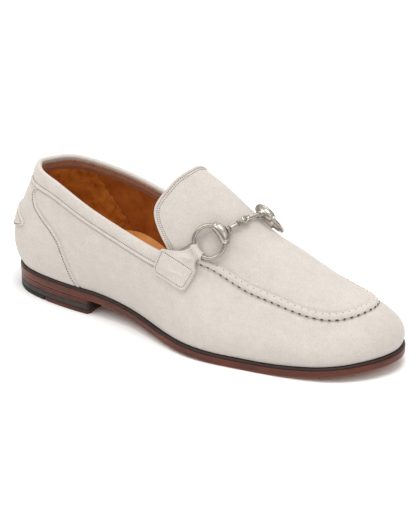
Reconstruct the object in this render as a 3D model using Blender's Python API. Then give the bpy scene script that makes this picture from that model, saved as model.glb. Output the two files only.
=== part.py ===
"""A suede bit loafer, the right shoe of a pair.

Metres, +X to the toe, +Y to the wearer's left (the medial side), +Z up.
Lengths run from the back of the outsole, heights from the floor, and the
finished shoe is set down with its box centred over the origin.
"""

import math
from typing import NamedTuple

import bmesh
import bpy
import numpy as np
from mathutils import Vector
from mathutils.bvhtree import BVHTree

# Driving sizes of the sole
SHOE_LENGTH = 0.290
BALL_WIDTH = 0.101
HEEL_WIDTH = 0.066
HEEL_HEIGHT = 0.0109
TOE_SPRING = 0.0072
OUTSOLE_THICK = 0.0051
OUTSOLE_ROUND = 0.0006
RAND_THICK = 0.0014
RAND_INSET = 0.0004
HEEL_LENGTH = 0.076
TOP_PIECE_THICK = 0.0027
RUBBER_LENGTH = 0.038
LIFT_THICK = 0.0036
HEEL_INSET = 0.0003
INSOLE_THICK = 0.0030

# Driving sizes of the upper
FEATHER_INSET = 0.0022
WALL = 0.0022
BACK_RISE = 0.0700
INSTEP_RISE = 0.0700
CUFF_DEPTH = 0.0112
CUFF_STEP = 0.0006
COUNTER_STEP = 0.0006
STEP_RUN = 0.0005
COLLAR_ROUND = 0.0009
APRON_THICK = 0.0021
ROLL_WIDTH = 0.0052
ROLL_HEIGHT = 0.0013
TONGUE_TUCK = 0.0030
TONGUE_INSET = 0.0008
ROW_STEP = 0.0005
HEEL_TAB_HALF = 0.0340
HEEL_TAB_HEIGHT = 0.0150
HEEL_TAB_RISE = 0.0365
HEEL_TAB_THICK = 0.0013


# Driving sizes of the straps and the bit
STRAP_WIDTH = 0.0272
STRAP_TAB = 0.0160
STRAP_NECK = 0.0100
STRAP_THICK = 0.0015
RING_RADIUS = 0.0105
WIRE_RADIUS = 0.0012
KEEPER_RADIUS = 0.0037
KEEPER_MOUTH = 0.0026
KEEPER_SWEEP = math.radians(80.0)
SLEEVE_WALL = 0.0011
SLEEVE_SWEEP = math.radians(54.0)
BAR_THICK = 0.0015
EYE_RADIUS = 0.0020
EYE_WIRE = 0.0008

# Clearance between pieces that touch
GAP = 0.0003

# How far pieces are dropped when they are laid on the upper
DRAPE_REACH = 0.030
DRAPE_GAP = 0.0006

# Mesh steps
DRAPE_COLUMNS = 9
HEEL_TAB_ROWS = 7
HEEL_TAB_COLUMNS = 21
TUBE_SIDES = 8
RING_STEPS = 28
EYE_STEPS = 12
HALF_COLUMNS = 46
APRON_COLUMNS = 9
ROUND_STEPS = 12


class Outline(NamedTuple):
    """One pair of points on the sole's edge: shares of the length and a width."""
    along: float
    across: float
    lateral: float
    medial: float


SOLE_OUTLINE = (
    Outline(0.018, HEEL_WIDTH, 0.235, 0.235),
    Outline(0.055, HEEL_WIDTH, 0.385, 0.385),
    Outline(0.115, HEEL_WIDTH, 0.475, 0.470),
    Outline(0.255, HEEL_WIDTH, 0.527, 0.490),
    Outline(0.362, BALL_WIDTH, 0.352, 0.300),
    Outline(0.465, BALL_WIDTH, 0.436, 0.290),
    Outline(0.569, BALL_WIDTH, 0.518, 0.355),
    Outline(0.690, BALL_WIDTH, 0.491, 0.462),
    Outline(0.810, BALL_WIDTH, 0.429, 0.455),
    Outline(0.903, BALL_WIDTH, 0.334, 0.390),
    Outline(0.970, BALL_WIDTH, 0.160, 0.275),
)
TOE_ACROSS = 0.078


class Rise(NamedTuple):
    """Height of the outsole's underside: shares of the heel and the toe spring."""
    along: float
    heel: float
    toe: float


SOLE_RISE = (
    Rise(0.000, 1.03, 0.0),
    Rise(0.140, 1.01, 0.0),
    Rise(0.262, 0.96, 0.0),
    Rise(0.362, 0.65, 0.0),
    Rise(0.466, 0.31, 0.0),
    Rise(0.569, 0.10, 0.0),
    Rise(0.660, 0.00, 0.0),
    Rise(0.740, 0.00, 0.0),
    Rise(0.862, 0.00, 0.28),
    Rise(1.000, 0.00, 1.0),
)


class Ridge(NamedTuple):
    """One section of the crown over the forefoot and the instep."""
    along: float
    across: float
    rise: float
    drop: float


CROWN = (
    Ridge(0.400, -0.090, 1.800, 1.06),
    Ridge(0.470, -0.090, 1.640, 1.02),
    Ridge(0.540, -0.082, 1.445, 0.92),
    Ridge(0.610, -0.066, 1.240, 0.76),
    Ridge(0.680, -0.043, 1.015, 0.56),
    Ridge(0.760, -0.015, 0.840, 0.41),
    Ridge(0.840, 0.015, 0.630, 0.33),
    Ridge(0.920, 0.045, 0.439, 0.30),
    Ridge(1.000, 0.065, 0.248, 0.30),
)
CROWN_POWER = 2.0
CROWN_HALF = 0.330
CROWN_LEAN_THROAT = 0.75
CROWN_LEAN_TOE = 0.10


class Wall(NamedTuple):
    """One rib of the upper: where it stands, where it ends and how it curves.

    foot is the share of the way from the heel's back to the toe's tip along
    the sole's edge. along, across and rise place its top as shares of the
    length, the ball width and the back's rise; a rise of None lies on the
    crown. The leans are in degrees, outwards at the foot and inwards at the
    top, and the pulls are shares of the rib's chord.
    """
    foot: float
    along: float
    across: float
    rise: float | None
    foot_lean: float
    foot_pull: float
    top_lean: float
    top_pull: float


HEEL_BACK = Wall(0.00, 0.050, 0.000, 1.010, 36.0, 0.32, 20.0, 0.45)
TOE_TIP = Wall(1.00, 0.937, 0.048, None, 30.0, 0.36, 60.0, 0.42)

LATERAL_WALL = (
    Wall(0.06, 0.066, -0.092, 1.015, 34.0, 0.32, 19.0, 0.45),
    Wall(0.13, 0.098, -0.180, 1.012, 26.0, 0.32, 15.0, 0.42),
    Wall(0.21, 0.160, -0.248, 0.975, 18.0, 0.30, 13.0, 0.38),
    Wall(0.29, 0.240, -0.290, 0.870, 14.0, 0.28, 14.0, 0.36),
    Wall(0.39, 0.350, -0.325, 0.783, 16.0, 0.28, 20.0, 0.34),
    Wall(0.48, 0.484, -0.386, 0.757, 20.0, 0.30, 30.0, 0.34),
    Wall(0.57, 0.571, -0.358, None, 24.0, 0.32, 45.0, 0.36),
    Wall(0.66, 0.672, -0.333, None, 26.0, 0.34, 50.0, 0.38),
    Wall(0.76, 0.776, -0.304, None, 26.0, 0.36, 55.0, 0.40),
    Wall(0.87, 0.884, -0.195, None, 28.0, 0.36, 58.0, 0.42),
)
MEDIAL_WALL = (
    Wall(0.06, 0.066, 0.092, 1.015, 34.0, 0.32, 19.0, 0.45),
    Wall(0.13, 0.098, 0.184, 1.012, 26.0, 0.32, 15.0, 0.42),
    Wall(0.21, 0.160, 0.255, 0.965, 18.0, 0.30, 13.0, 0.38),
    Wall(0.29, 0.250, 0.295, 0.885, 12.0, 0.28, 12.0, 0.36),
    Wall(0.39, 0.365, 0.288, 0.810, 8.0, 0.28, 14.0, 0.34),
    Wall(0.48, 0.482, 0.232, 0.775, 10.0, 0.30, 26.0, 0.34),
    Wall(0.57, 0.585, 0.216, None, 16.0, 0.32, 42.0, 0.36),
    Wall(0.66, 0.680, 0.240, None, 24.0, 0.34, 50.0, 0.38),
    Wall(0.76, 0.785, 0.276, None, 26.0, 0.36, 55.0, 0.40),
    Wall(0.87, 0.890, 0.235, None, 28.0, 0.36, 58.0, 0.42),
)
STRAP_REAR = 0.48
STRAP_FRONT = 0.57
TONGUE_FOOT = 0.51
SEAM_START = 0.52
SEAM_FULL = 0.58


class Counter(NamedTuple):
    """Where the counter's edge crosses one height of the wall."""
    height: float
    foot: float


COUNTER_EDGE = (
    Counter(0.00, 0.245),
    Counter(0.15, 0.236),
    Counter(0.35, 0.230),
    Counter(0.54, 0.223),
    Counter(0.66, 0.203),
    Counter(0.76, 0.168),
    Counter(0.85, 0.135),
    Counter(0.93, 0.120),
    Counter(1.00, 0.130),
)


class Hem(NamedTuple):
    """One pair of points on the tongue's free edge, laid out from its ridge."""
    along: float
    lateral: float
    medial: float


TONGUE_EDGE = (
    Hem(0.637, 0.286, 0.270),
    Hem(0.622, 0.285, 0.269),
    Hem(0.604, 0.280, 0.264),
    Hem(0.585, 0.273, 0.258),
    Hem(0.567, 0.263, 0.248),
    Hem(0.551, 0.248, 0.230),
    Hem(0.538, 0.223, 0.198),
    Hem(0.526, 0.184, 0.150),
    Hem(0.518, 0.146, 0.090),
    Hem(0.514, 0.092, 0.026),
    Hem(0.513, 0.035, -0.035),
)


class Spot(NamedTuple):
    """A spot of the shoe's skin and the way it faces.

    The place is given in shares of the length, the ball width and the
    instep's rise.
    """
    along: float
    across: float
    rise: float
    facing: tuple


class BitEnd(NamedTuple):
    """One end of the bit: its ring's spot, its strap's spot and cant."""
    word: str
    side: float
    ring: Spot
    tab: Spot
    cant: float


BIT_MIDDLE = Spot(0.635, -0.138, 1.220, (0.55, -0.35, 0.76))
BIT_ENDS = (
    BitEnd("lateral", -1.0, Spot(0.586, -0.286, 1.05, (0.16, -0.89, 0.42)),
           Spot(0.519, -0.410, 0.762, (0.05, -0.94, 0.34)), 25.0),
    BitEnd("medial", 1.0, Spot(0.653, 0.060, 1.10, (0.45, 0.60, 0.65)),
           Spot(0.552, 0.300, 0.720, (0.05, 0.94, 0.34)), 32.0),
)


def smooth(places, values, at):
    """Read a monotone cubic through a short table, flat where it is flat."""
    x = np.asarray(places, float)
    y = np.asarray(values, float)
    step = np.diff(x)
    slope = np.diff(y) / step
    tangent = np.zeros(len(x))
    for k in range(1, len(x) - 1):
        if slope[k - 1] * slope[k] > 0.0:
            before = 2.0 * step[k] + step[k - 1]
            after = step[k] + 2.0 * step[k - 1]
            tangent[k] = (before + after) / (before / slope[k - 1] + after / slope[k])
    tangent[0] = slope[0]
    tangent[-1] = slope[-1]
    at = np.clip(np.asarray(at, float), x[0], x[-1])
    k = np.clip(np.searchsorted(x, at) - 1, 0, len(step) - 1)
    t = (at - x[k]) / step[k]
    h = step[k]
    return ((1 + 2 * t) * (1 - t) ** 2 * y[k] + t * (1 - t) ** 2 * h * tangent[k]
            + t ** 2 * (3 - 2 * t) * y[k + 1] + t ** 2 * (t - 1) * h * tangent[k + 1])


class Loop:
    """A smooth closed line through points at given places of one period."""

    def __init__(self, places, points, period):
        self.places = np.asarray(places, float)
        self.points = np.asarray(points, float)
        self.period = period
        count = len(self.places)
        self.step = np.diff(np.append(self.places, self.places[0] + period))
        chord = (np.roll(self.points, -1, 0) - self.points) / self.step[:, None]
        system = np.zeros((count, count))
        for k in range(count):
            system[k, k - 1] += self.step[k - 1]
            system[k, k] += 2.0 * (self.step[k - 1] + self.step[k])
            system[k, (k + 1) % count] += self.step[k]
        self.bend = np.linalg.solve(system, 6.0 * (chord - np.roll(chord, 1, 0)))

    def at(self, place):
        """Points at places given as an array, any number of periods round."""
        place = (np.asarray(place, float) - self.places[0]) % self.period + self.places[0]
        k = np.searchsorted(self.places, place, side="right") - 1
        after = (k + 1) % len(self.places)
        h = self.step[k][..., None]
        b = (place - self.places[k])[..., None] / h
        a = 1.0 - b
        return (a * self.points[k] + b * self.points[after]
                + ((a ** 3 - a) * self.bend[k] + (b ** 3 - b) * self.bend[after]) * h ** 2 / 6.0)


def unit(vectors):
    """The same vectors at length one."""
    return vectors / np.linalg.norm(vectors, axis=-1, keepdims=True)


def underside(x):
    """Height of the outsole's underside at a length."""
    places = [row.along * SHOE_LENGTH for row in SOLE_RISE]
    heights = [row.heel * HEEL_HEIGHT + row.toe * TOE_SPRING for row in SOLE_RISE]
    return smooth(places, heights, x)


def feather_height(x):
    """Height at which the upper and the insole stand on the rand."""
    return underside(x) + OUTSOLE_THICK + GAP + RAND_THICK + GAP


def sole_line():
    """The sole's outline as a closed loop, and the places of its two ends."""
    lateral = [(row.along * SHOE_LENGTH, -row.lateral * row.across) for row in SOLE_OUTLINE]
    medial = [(row.along * SHOE_LENGTH, row.medial * row.across) for row in SOLE_OUTLINE]
    toe = (SHOE_LENGTH, TOE_ACROSS * BALL_WIDTH)
    points = np.array([(0.0, 0.0), *lateral, toe, *reversed(medial)])
    chords = np.linalg.norm(np.roll(points, -1, 0) - points, axis=1)
    places = np.concatenate([[0.0], np.cumsum(chords)[:-1]])
    return Loop(places, points, chords.sum()), places[len(lateral) + 1]


def side_tables(inset):
    """Dense lateral and medial edges, from heel to toe, moved inwards."""
    line, toe_place = sole_line()
    sides = []
    for start, end in ((0.0, toe_place), (line.period, toe_place)):
        place = np.linspace(start, end, 400)
        point = line.at(place)
        turn = 1.0 if start == 0.0 else -1.0
        along = unit(line.at(place + turn * 1e-5) - line.at(place - turn * 1e-5))
        inward = np.stack([-along[:, 1], along[:, 0]], 1) * turn
        sides.append(point + inward * inset)
    return sides


def edge_at(sides, share):
    """Points of the edge for shares 0 to 1 lateral and 1 to 2 medial."""
    share = np.asarray(share, float) % 2.0
    out = np.zeros(share.shape + (2,))
    for side, table in enumerate(sides):
        run = np.concatenate([[0.0], np.cumsum(np.linalg.norm(np.diff(table, axis=0), axis=1))])
        run = run / run[-1]
        want = share if side == 0 else 2.0 - share
        here = (share <= 1.0) if side == 0 else (share > 1.0)
        for axis in (0, 1):
            out[..., axis] = np.where(here, np.interp(want, run, table[:, axis]), out[..., axis])
    return out


def crown(x, y):
    """Height of the crown over a point in plan."""
    places = [row.along * SHOE_LENGTH for row in CROWN]
    ridge = smooth(places, [row.rise * INSTEP_RISE for row in CROWN], x)
    drop = smooth(places, [row.drop * INSTEP_RISE for row in CROWN], x)
    centre = smooth(places, [row.across * BALL_WIDTH for row in CROWN], x)
    off = np.abs(y - centre) / (CROWN_HALF * BALL_WIDTH)
    return feather_height(x) + ridge - drop * off ** CROWN_POWER


def crown_normal(x, y):
    """Outward normal of the crown over a point in plan."""
    d = 0.0005
    slope_x = (crown(x + d, y) - crown(x - d, y)) / (2 * d)
    slope_y = (crown(x, y + d) - crown(x, y - d)) / (2 * d)
    return unit(np.stack([-slope_x, -slope_y, np.ones_like(slope_x)], -1))


class Upper:
    """The hollow wall: ribs from the feather line to the collar or the seam."""

    def __init__(self):
        self.sides = side_tables(FEATHER_INSET)
        rows = [HEEL_BACK, *LATERAL_WALL, TOE_TIP, *reversed(MEDIAL_WALL)]
        lateral = len(LATERAL_WALL) + 1
        places = [row.foot if k <= lateral else 2.0 - row.foot for k, row in enumerate(rows)]
        tops = []
        for row in rows:
            x = row.along * SHOE_LENGTH
            y = row.across * BALL_WIDTH
            if row.rise is None:
                z = float(crown(x, y))
            else:
                z = float(feather_height(x)) + row.rise * BACK_RISE
            tops.append((x, y, z))
        self.top_line = Loop(places, tops, 2.0)
        shape = [(r.foot_lean, r.foot_pull, r.top_lean, r.top_pull) for r in rows]
        self.shape = Loop(places, shape, 2.0)

    def seam_weight(self, s):
        """0 along the collar, 1 where the apron is sewn on."""
        half = np.minimum(s % 2.0, 2.0 - s % 2.0)
        t = np.clip((half - SEAM_START) / (SEAM_FULL - SEAM_START), 0.0, 1.0)
        return t * t * (3.0 - 2.0 * t)

    def top(self, s):
        """The top line, on the crown where the apron is sewn on."""
        point = self.top_line.at(s)
        weight = self.seam_weight(s)
        lifted = crown(point[..., 0], point[..., 1])
        point[..., 2] = point[..., 2] * (1.0 - weight) + lifted * weight
        return point

    def top_frame(self, s):
        """Top point, outward normal and direction up the wall at its edge."""
        d = 0.002
        point = self.top(s)
        run = unit(self.top(s + d) - self.top(s - d))
        outward = unit(np.stack([run[..., 1], -run[..., 0], np.zeros_like(run[..., 0])], -1))
        lean = np.radians(self.shape.at(s)[..., 2:3])
        up = np.array([0.0, 0.0, 1.0])
        rise = np.cos(lean) * up - np.sin(lean) * outward
        flat = crown_normal(point[..., 0], point[..., 1])
        over = unit(np.cross(flat, run))
        weight = self.seam_weight(s)[..., None]
        climb = rise * (1.0 - weight) + over * weight
        climb = unit(climb - run * (climb * run).sum(-1, keepdims=True))
        normal = unit(np.cross(run, climb))
        return point, normal, climb

    def surface(self, s, t):
        """The outer face at places round the loop and shares up the rib."""
        s, t = np.broadcast_arrays(np.asarray(s, float), np.asarray(t, float))
        d = 0.001
        plan = edge_at(self.sides, s)
        ahead = edge_at(self.sides, s + d)
        behind = edge_at(self.sides, s - d)
        run = unit(ahead - behind)
        outward = np.stack([run[..., 1], -run[..., 0], np.zeros_like(run[..., 0])], -1)
        foot = np.concatenate([plan, feather_height(plan[..., 0])[..., None]], -1)
        point, _, climb = self.top_frame(s)
        lean, foot_pull, _, top_pull = np.moveaxis(self.shape.at(s), -1, 0)
        chord = np.linalg.norm(point - foot, axis=-1)[..., None]
        lean = np.radians(lean)[..., None]
        start = np.cos(lean) * np.array([0.0, 0.0, 1.0]) + np.sin(lean) * outward
        b = foot + start * chord * foot_pull[..., None]
        c = point - climb * chord * top_pull[..., None]
        t = t[..., None]
        return ((1 - t) ** 3 * foot + 3 * (1 - t) ** 2 * t * b
                + 3 * (1 - t) * t ** 2 * c + t ** 3 * point)

    def normal(self, s, t):
        """Outward normal of the outer face."""
        ds = 0.002
        dt = 0.01
        low = np.clip(t - dt, 0.0, 1.0)
        high = np.clip(t + dt, 0.0, 1.0)
        round_run = self.surface(s + ds, t) - self.surface(s - ds, t)
        up_run = self.surface(s, high) - self.surface(s, low)
        return unit(np.cross(round_run, up_run))

    def columns(self):
        """Places of the ribs of one half, with a pair at the counter's edge."""
        edge = COUNTER_EDGE[0].foot
        step = STEP_RUN / SHOE_LENGTH
        heel = np.linspace(0.0, edge, 13)
        quarter = np.linspace(edge + step, STRAP_REAR, 9)
        strap = np.linspace(STRAP_REAR, STRAP_FRONT, 7)[1:]
        toe = np.linspace(STRAP_FRONT, 1.0, 20)[1:]
        return np.concatenate([heel, quarter, strap, toe])

    def ring_places(self):
        """Places of all the ribs round the shoe."""
        half = self.columns()
        return np.concatenate([half, (2.0 - half[1:-1])[::-1]])

    def slanted(self, places, height):
        """Rib places at a share of the counter's height, bent to its edge."""
        half = np.minimum(places, 2.0 - places)
        edge = COUNTER_EDGE[0].foot
        step = STEP_RUN / SHOE_LENGTH
        heights = [row.height for row in COUNTER_EDGE]
        here = float(smooth(heights, [row.foot for row in COUNTER_EDGE], height))
        moved = np.interp(half, [0.0, edge, edge + step, STRAP_REAR, 1.0],
                          [0.0, here, here + step, STRAP_REAR, 1.0])
        return np.where(places <= 1.0, moved, 2.0 - moved)

    def rings(self):
        """Closed rings of the wall, out and up, over the rim, in and down."""
        places = self.ring_places()
        half = np.minimum(places, 2.0 - places)
        counter = (half <= COUNTER_EDGE[0].foot + 1e-9)[:, None] * COUNTER_STEP
        rings = []
        for share in (0.0, 0.07, 0.16, 0.27, 0.40, 0.54, 0.69, 0.85, 1.0):
            s = self.slanted(places, share)
            t = share * self.cuff_share(s)
            ring = self.surface(s, t) + self.normal(s, t) * counter
            ring[:, 2] = np.maximum(ring[:, 2], feather_height(ring[:, 0]))
            rings.append(ring)
        s = self.slanted(places, 1.0)
        collar = (1.0 - self.seam_weight(s))[:, None]
        foot = self.cuff_share(s)
        for share in (STEP_RUN / CUFF_DEPTH, 0.5, 1.0 - COLLAR_ROUND / CUFF_DEPTH):
            t = foot + (1.0 - foot) * share
            rings.append(self.surface(s, t) + self.normal(s, t) * CUFF_STEP * collar)
        point, normal, climb = self.top_frame(s)
        fall = climb * COLLAR_ROUND * 0.35 * collar
        rings.append(point + normal * CUFF_STEP * collar * 0.6 - fall)
        rings.append(point - normal * WALL * 0.5)
        rings.append(point - normal * WALL - fall)
        for share in (0.90, 0.74, 0.57, 0.40, 0.25, 0.11):
            s = self.slanted(places, share)
            t = np.full_like(s, share)
            rings.append(self.surface(s, t) - self.normal(s, t) * WALL)
        plan = edge_at(side_tables(FEATHER_INSET + WALL), places)
        rings.append(np.column_stack([plan, feather_height(plan[:, 0])]))
        return rings

    def cuff_share(self, s):
        """Share up the rib at which the cuff's lower edge runs."""
        top = self.top(s)
        plan = edge_at(self.sides, s)
        foot = np.column_stack([plan, feather_height(plan[:, 0])])
        chord = np.linalg.norm(top - foot, axis=1)
        return 1.0 - CUFF_DEPTH / (1.08 * chord)


def finish(name, mesh_points, faces, colour, roughness, metallic=0.0):
    """Make one closed solid with its own material."""
    mesh = bpy.data.meshes.new(name)
    bm = bmesh.new()
    verts = [bm.verts.new(Vector(point)) for point in mesh_points]
    for face in faces:
        bm.faces.new([verts[k] for k in face])
    bmesh.ops.recalc_face_normals(bm, faces=bm.faces)
    bm.to_mesh(mesh)
    bm.free()
    mesh.shade_smooth()
    mesh.set_sharp_from_angle(angle=math.radians(40.0))
    piece = bpy.data.objects.new(name, mesh)
    bpy.context.scene.collection.objects.link(piece)
    material = bpy.data.materials.new(name)
    material.use_nodes = True
    shader = material.node_tree.nodes["Principled BSDF"]
    shader.inputs["Base Color"].default_value = (*colour, 1.0)
    shader.inputs["Roughness"].default_value = roughness
    shader.inputs["Metallic"].default_value = metallic
    mesh.materials.append(material)
    return piece


def bridge(first, second, count):
    """Faces between two closed rings of points, given their first indices."""
    return [(first + k, first + (k + 1) % count, second + (k + 1) % count, second + k)
            for k in range(count)]


def cap(first, count):
    """Faces across a closed ring, from one side to the other."""
    faces = []
    k = 0
    while k + 1 <= count - k - 1:
        ring = [k, k + 1, count - k - 1, (count - k) % count]
        faces.append(tuple(first + n for n in dict.fromkeys(ring)))
        k += 1
    return faces


def slab(name, rings, look):
    """A solid stacked from matching closed rings, with flat ends."""
    count = len(rings[0])
    faces = []
    for level in range(len(rings) - 1):
        faces += bridge(level * count, (level + 1) * count, count)
    faces += cap(0, count) + cap((len(rings) - 1) * count, count)
    return finish(name, np.concatenate(rings), faces, *look)


def sole_ring(inset, height):
    """The sole's edge moved inwards, at heights worked out from the length."""
    half = 0.5 - 0.5 * np.cos(np.linspace(0.0, math.pi, HALF_COLUMNS + 1))
    half = 0.5 * half + 0.5 * np.linspace(0.0, 1.0, HALF_COLUMNS + 1)
    places = np.concatenate([half, (2.0 - half[1:-1])[::-1]])
    plan = edge_at(side_tables(inset), places)
    return np.column_stack([plan, height(plan[:, 0])])


def heel_ring(inset, start, end, height):
    """The heel's outline between two lengths, closed by straight cuts."""
    ring = []
    for side, table in enumerate(side_tables(inset)):
        top = int(np.argmax(table[:, 0]))
        run = np.linspace(0.0, 1.0, ROUND_STEPS + 1)
        low = np.interp(start, table[:top, 0], np.arange(top)) if start > 0.0 else 0.0
        high = np.interp(end, table[:top, 0], np.arange(top))
        spot = low + (high - low) * (0.5 * run + 0.5 * run ** 2)
        plan = np.stack([np.interp(spot, np.arange(len(table)), table[:, k]) for k in (0, 1)], 1)
        ring.append(plan)
    lateral, medial = ring
    if start <= 0.0:
        medial = medial[1:]
    plan = np.concatenate([lateral, medial[::-1]])
    return np.column_stack([plan, height(plan[:, 0])])


def level(z):
    """A flat height, the same at every length."""
    return lambda x: np.full_like(x, z)


def raised(base, lift):
    """A height function lifted by a fixed amount."""
    return lambda x: base(x) + lift


LEATHER_EDGE = ((0.13, 0.030, 0.020), 0.35)
DARK_EDGE = ((0.030, 0.012, 0.010), 0.40)
DARK_LIFT = ((0.035, 0.025, 0.020), 0.50)
RUBBER = ((0.030, 0.028, 0.026), 0.65)
TAN_LEATHER = ((0.58, 0.19, 0.035), 0.45)
SUEDE = ((0.71, 0.66, 0.60), 0.95)
NICKEL = ((0.72, 0.69, 0.65), 0.22, 1.0)


def build_sole():
    """The outsole and the dark rand on it."""
    top = raised(underside, OUTSOLE_THICK)
    slab("outsole", [
        sole_ring(OUTSOLE_ROUND, underside),
        sole_ring(0.0, raised(underside, OUTSOLE_ROUND)),
        sole_ring(0.0, top),
    ], LEATHER_EDGE)
    base = raised(top, GAP)
    slab("rand", [
        sole_ring(RAND_INSET, base),
        sole_ring(RAND_INSET, raised(base, RAND_THICK)),
    ], DARK_EDGE)


def build_heel():
    """The heel's layers, from the floor up to the outsole."""
    lift_foot = TOP_PIECE_THICK + GAP
    stack_foot = lift_foot + LIFT_THICK + GAP
    split = RUBBER_LENGTH
    layers = (
        ("top_piece_rubber", 0.0, split, level(0.0), level(TOP_PIECE_THICK), RUBBER),
        ("top_piece_leather", split + GAP, HEEL_LENGTH, level(0.0), level(TOP_PIECE_THICK),
         LEATHER_EDGE),
        ("heel_lift", 0.0, HEEL_LENGTH, level(lift_foot), level(lift_foot + LIFT_THICK), DARK_LIFT),
        ("heel_stack", 0.0, HEEL_LENGTH, level(stack_foot), raised(underside, -GAP), LEATHER_EDGE),
    )
    for name, start, end, low, high, look in layers:
        slab(name, [heel_ring(HEEL_INSET, start, end, low),
                    heel_ring(HEEL_INSET, start, end, high)], look)


def build_insole():
    """The leather sock on its board, inside the wall."""
    inset = FEATHER_INSET + WALL + GAP
    slab("insole", [
        sole_ring(inset, feather_height),
        sole_ring(inset, raised(feather_height, INSOLE_THICK)),
    ], TAN_LEATHER)


def build_upper(upper):
    """The hollow wall with its counter and cuff."""
    rings = upper.rings()
    count = len(rings[0])
    faces = []
    for k in range(len(rings)):
        faces += bridge(k * count, (k + 1) % len(rings) * count, count)
    return finish("upper", np.concatenate(rings), faces, *SUEDE)


def lean_at(station):
    """How far the crown's sections lean back at a ridge station."""
    places = [0.62 * SHOE_LENGTH, 0.90 * SHOE_LENGTH]
    return smooth(places, [CROWN_LEAN_THROAT, CROWN_LEAN_TOE], station)


def ridge_spot(station, y):
    """Length at which the section from a ridge station meets a side place."""
    x = station.copy()
    for _ in range(12):
        x = station - lean_at(station) * crown_drop(x, y)
    return x


def ridge_station(x, y):
    """Ridge station of the leaning section through a point in plan."""
    station = np.array(x, float)
    for _ in range(12):
        station = x + lean_at(station) * crown_drop(x, y)
    return station


def crown_drop(x, y):
    """How far the crown has fallen from its ridge."""
    places = [row.along * SHOE_LENGTH for row in CROWN]
    drop = smooth(places, [row.drop * INSTEP_RISE for row in CROWN], x)
    centre = smooth(places, [row.across * BALL_WIDTH for row in CROWN], x)
    return drop * (np.abs(y - centre) / (CROWN_HALF * BALL_WIDTH)) ** CROWN_POWER


def crown_centre(x):
    """Sideways place of the crown's ridge."""
    places = [row.along * SHOE_LENGTH for row in CROWN]
    return smooth(places, [row.across * BALL_WIDTH for row in CROWN], x)


def apron_edge(upper, side):
    """Half of the apron's edge from the toe to the tongue's end.

    Gives points, and the share of the sewn seam at each of them.
    """
    half = upper.columns()
    seam = half[half >= TONGUE_FOOT - 1e-9][::-1]
    places = seam if side < 0 else 2.0 - seam
    point, normal, climb = upper.top_frame(places)
    fall = np.clip((STRAP_FRONT - seam) / (STRAP_FRONT - TONGUE_FOOT) * 2.0, 0.0, 2.0)[:, None]
    sink = np.clip(fall, 0.0, 1.0)
    tuck = np.clip(fall - 1.0, 0.0, 1.0)
    edge = (point - normal * ((WALL + 3.0 * GAP) * sink + TONGUE_INSET * tuck)
            + climb * (GAP * (1.0 - tuck) - TONGUE_TUCK * tuck))
    station = np.array([row.along for row in TONGUE_EDGE]) * SHOE_LENGTH
    across = np.array([row.lateral if side < 0 else row.medial for row in TONGUE_EDGE])
    hem_y = crown_centre(station[-1]) + across * BALL_WIDTH * side
    hem_x = ridge_spot(station, hem_y)
    lift = float(edge[-1, 2] - crown(edge[-1, 0], edge[-1, 1]))
    fade = np.clip(1.0 - np.arange(len(station)) / 5.0, 0.0, 1.0) ** 2
    hem = np.column_stack([hem_x, hem_y, crown(hem_x, hem_y) + lift * fade])
    weight = np.concatenate([upper.seam_weight(places), np.zeros(len(hem))])
    points = np.concatenate([edge, hem])
    station = ridge_station(points[:, 0], points[:, 1])
    step = ROW_STEP * np.arange(len(points))
    points[:, 0] += np.minimum.accumulate(station + step) - step - station
    return points, weight


def build_apron(upper):
    """The apron with its rolled seam, running back into the tongue."""
    lateral, weight = apron_edge(upper, -1)
    medial, _ = apron_edge(upper, 1)
    last = len(lateral) - 1
    medial[0] = lateral[0]
    medial[last] = lateral[last]
    loop = np.concatenate([lateral, medial[last - 1:0:-1]])
    weight = np.concatenate([weight, weight[last - 1:0:-1]])[:, None]
    run = unit(np.roll(loop, -1, 0) - np.roll(loop, 1, 0))
    normal = crown_normal(loop[:, 0], loop[:, 1])
    inward = unit(np.cross(run, normal))
    off = loop[:, 2] - crown(loop[:, 0], loop[:, 1])
    count = len(loop)
    outer = []
    for share, height in ((0.0, 0.15), (0.16, 0.75), (0.5, 1.0), (0.82, 0.6), (1.0, 0.0)):
        ring = loop + inward * ROLL_WIDTH * share
        ring[:, 2] = crown(ring[:, 0], ring[:, 1]) + off * (1.0 - share * 0.3)
        outer.append(ring + normal * ROLL_HEIGHT * height * weight)
    base = outer[-1]
    off = off * 0.7
    points = [*outer]
    faces = []
    for k in range(len(outer) - 1):
        faces += bridge(k * count, (k + 1) * count, count)
    inner_edge = loop - normal * APRON_THICK
    inner_base = base - normal * APRON_THICK
    start = len(outer) * count
    points += [inner_edge, inner_base]
    faces += bridge(0, start, count) + bridge(start, start + count, count)
    spots = []
    first = start + 2 * count
    for face, depth in ((0, 0.0), (1, APRON_THICK)):
        ring_first = (len(outer) - 1) * count if face == 0 else start + count
        rows = [[ring_first]]
        for k in range(1, last):
            a, b = base[k], base[count - k]
            share = np.linspace(0.0, 1.0, APRON_COLUMNS + 1)[1:-1]
            y = a[1] + (b[1] - a[1]) * share
            station_a = ridge_station(a[0], a[1])
            station_b = ridge_station(b[0], b[1])
            x = ridge_spot(station_a + (station_b - station_a) * share, y)
            fade = np.clip(1.0 - np.minimum(share, 1.0 - share) * 3.0, 0.0, 1.0)
            side_off = np.where(share < 0.5, off[k], off[count - k])
            z = crown(x, y) + side_off * fade ** 2
            row = np.column_stack([x, y, z]) - crown_normal(x, y) * depth
            spots.append(row)
            rows.append([ring_first + k, *range(first, first + len(row)), ring_first + count - k])
            first += len(row)
        rows.append([ring_first + last])
        faces += strips(rows)
    return finish("apron", np.concatenate([*points, *spots]), faces, *SUEDE)


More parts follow.
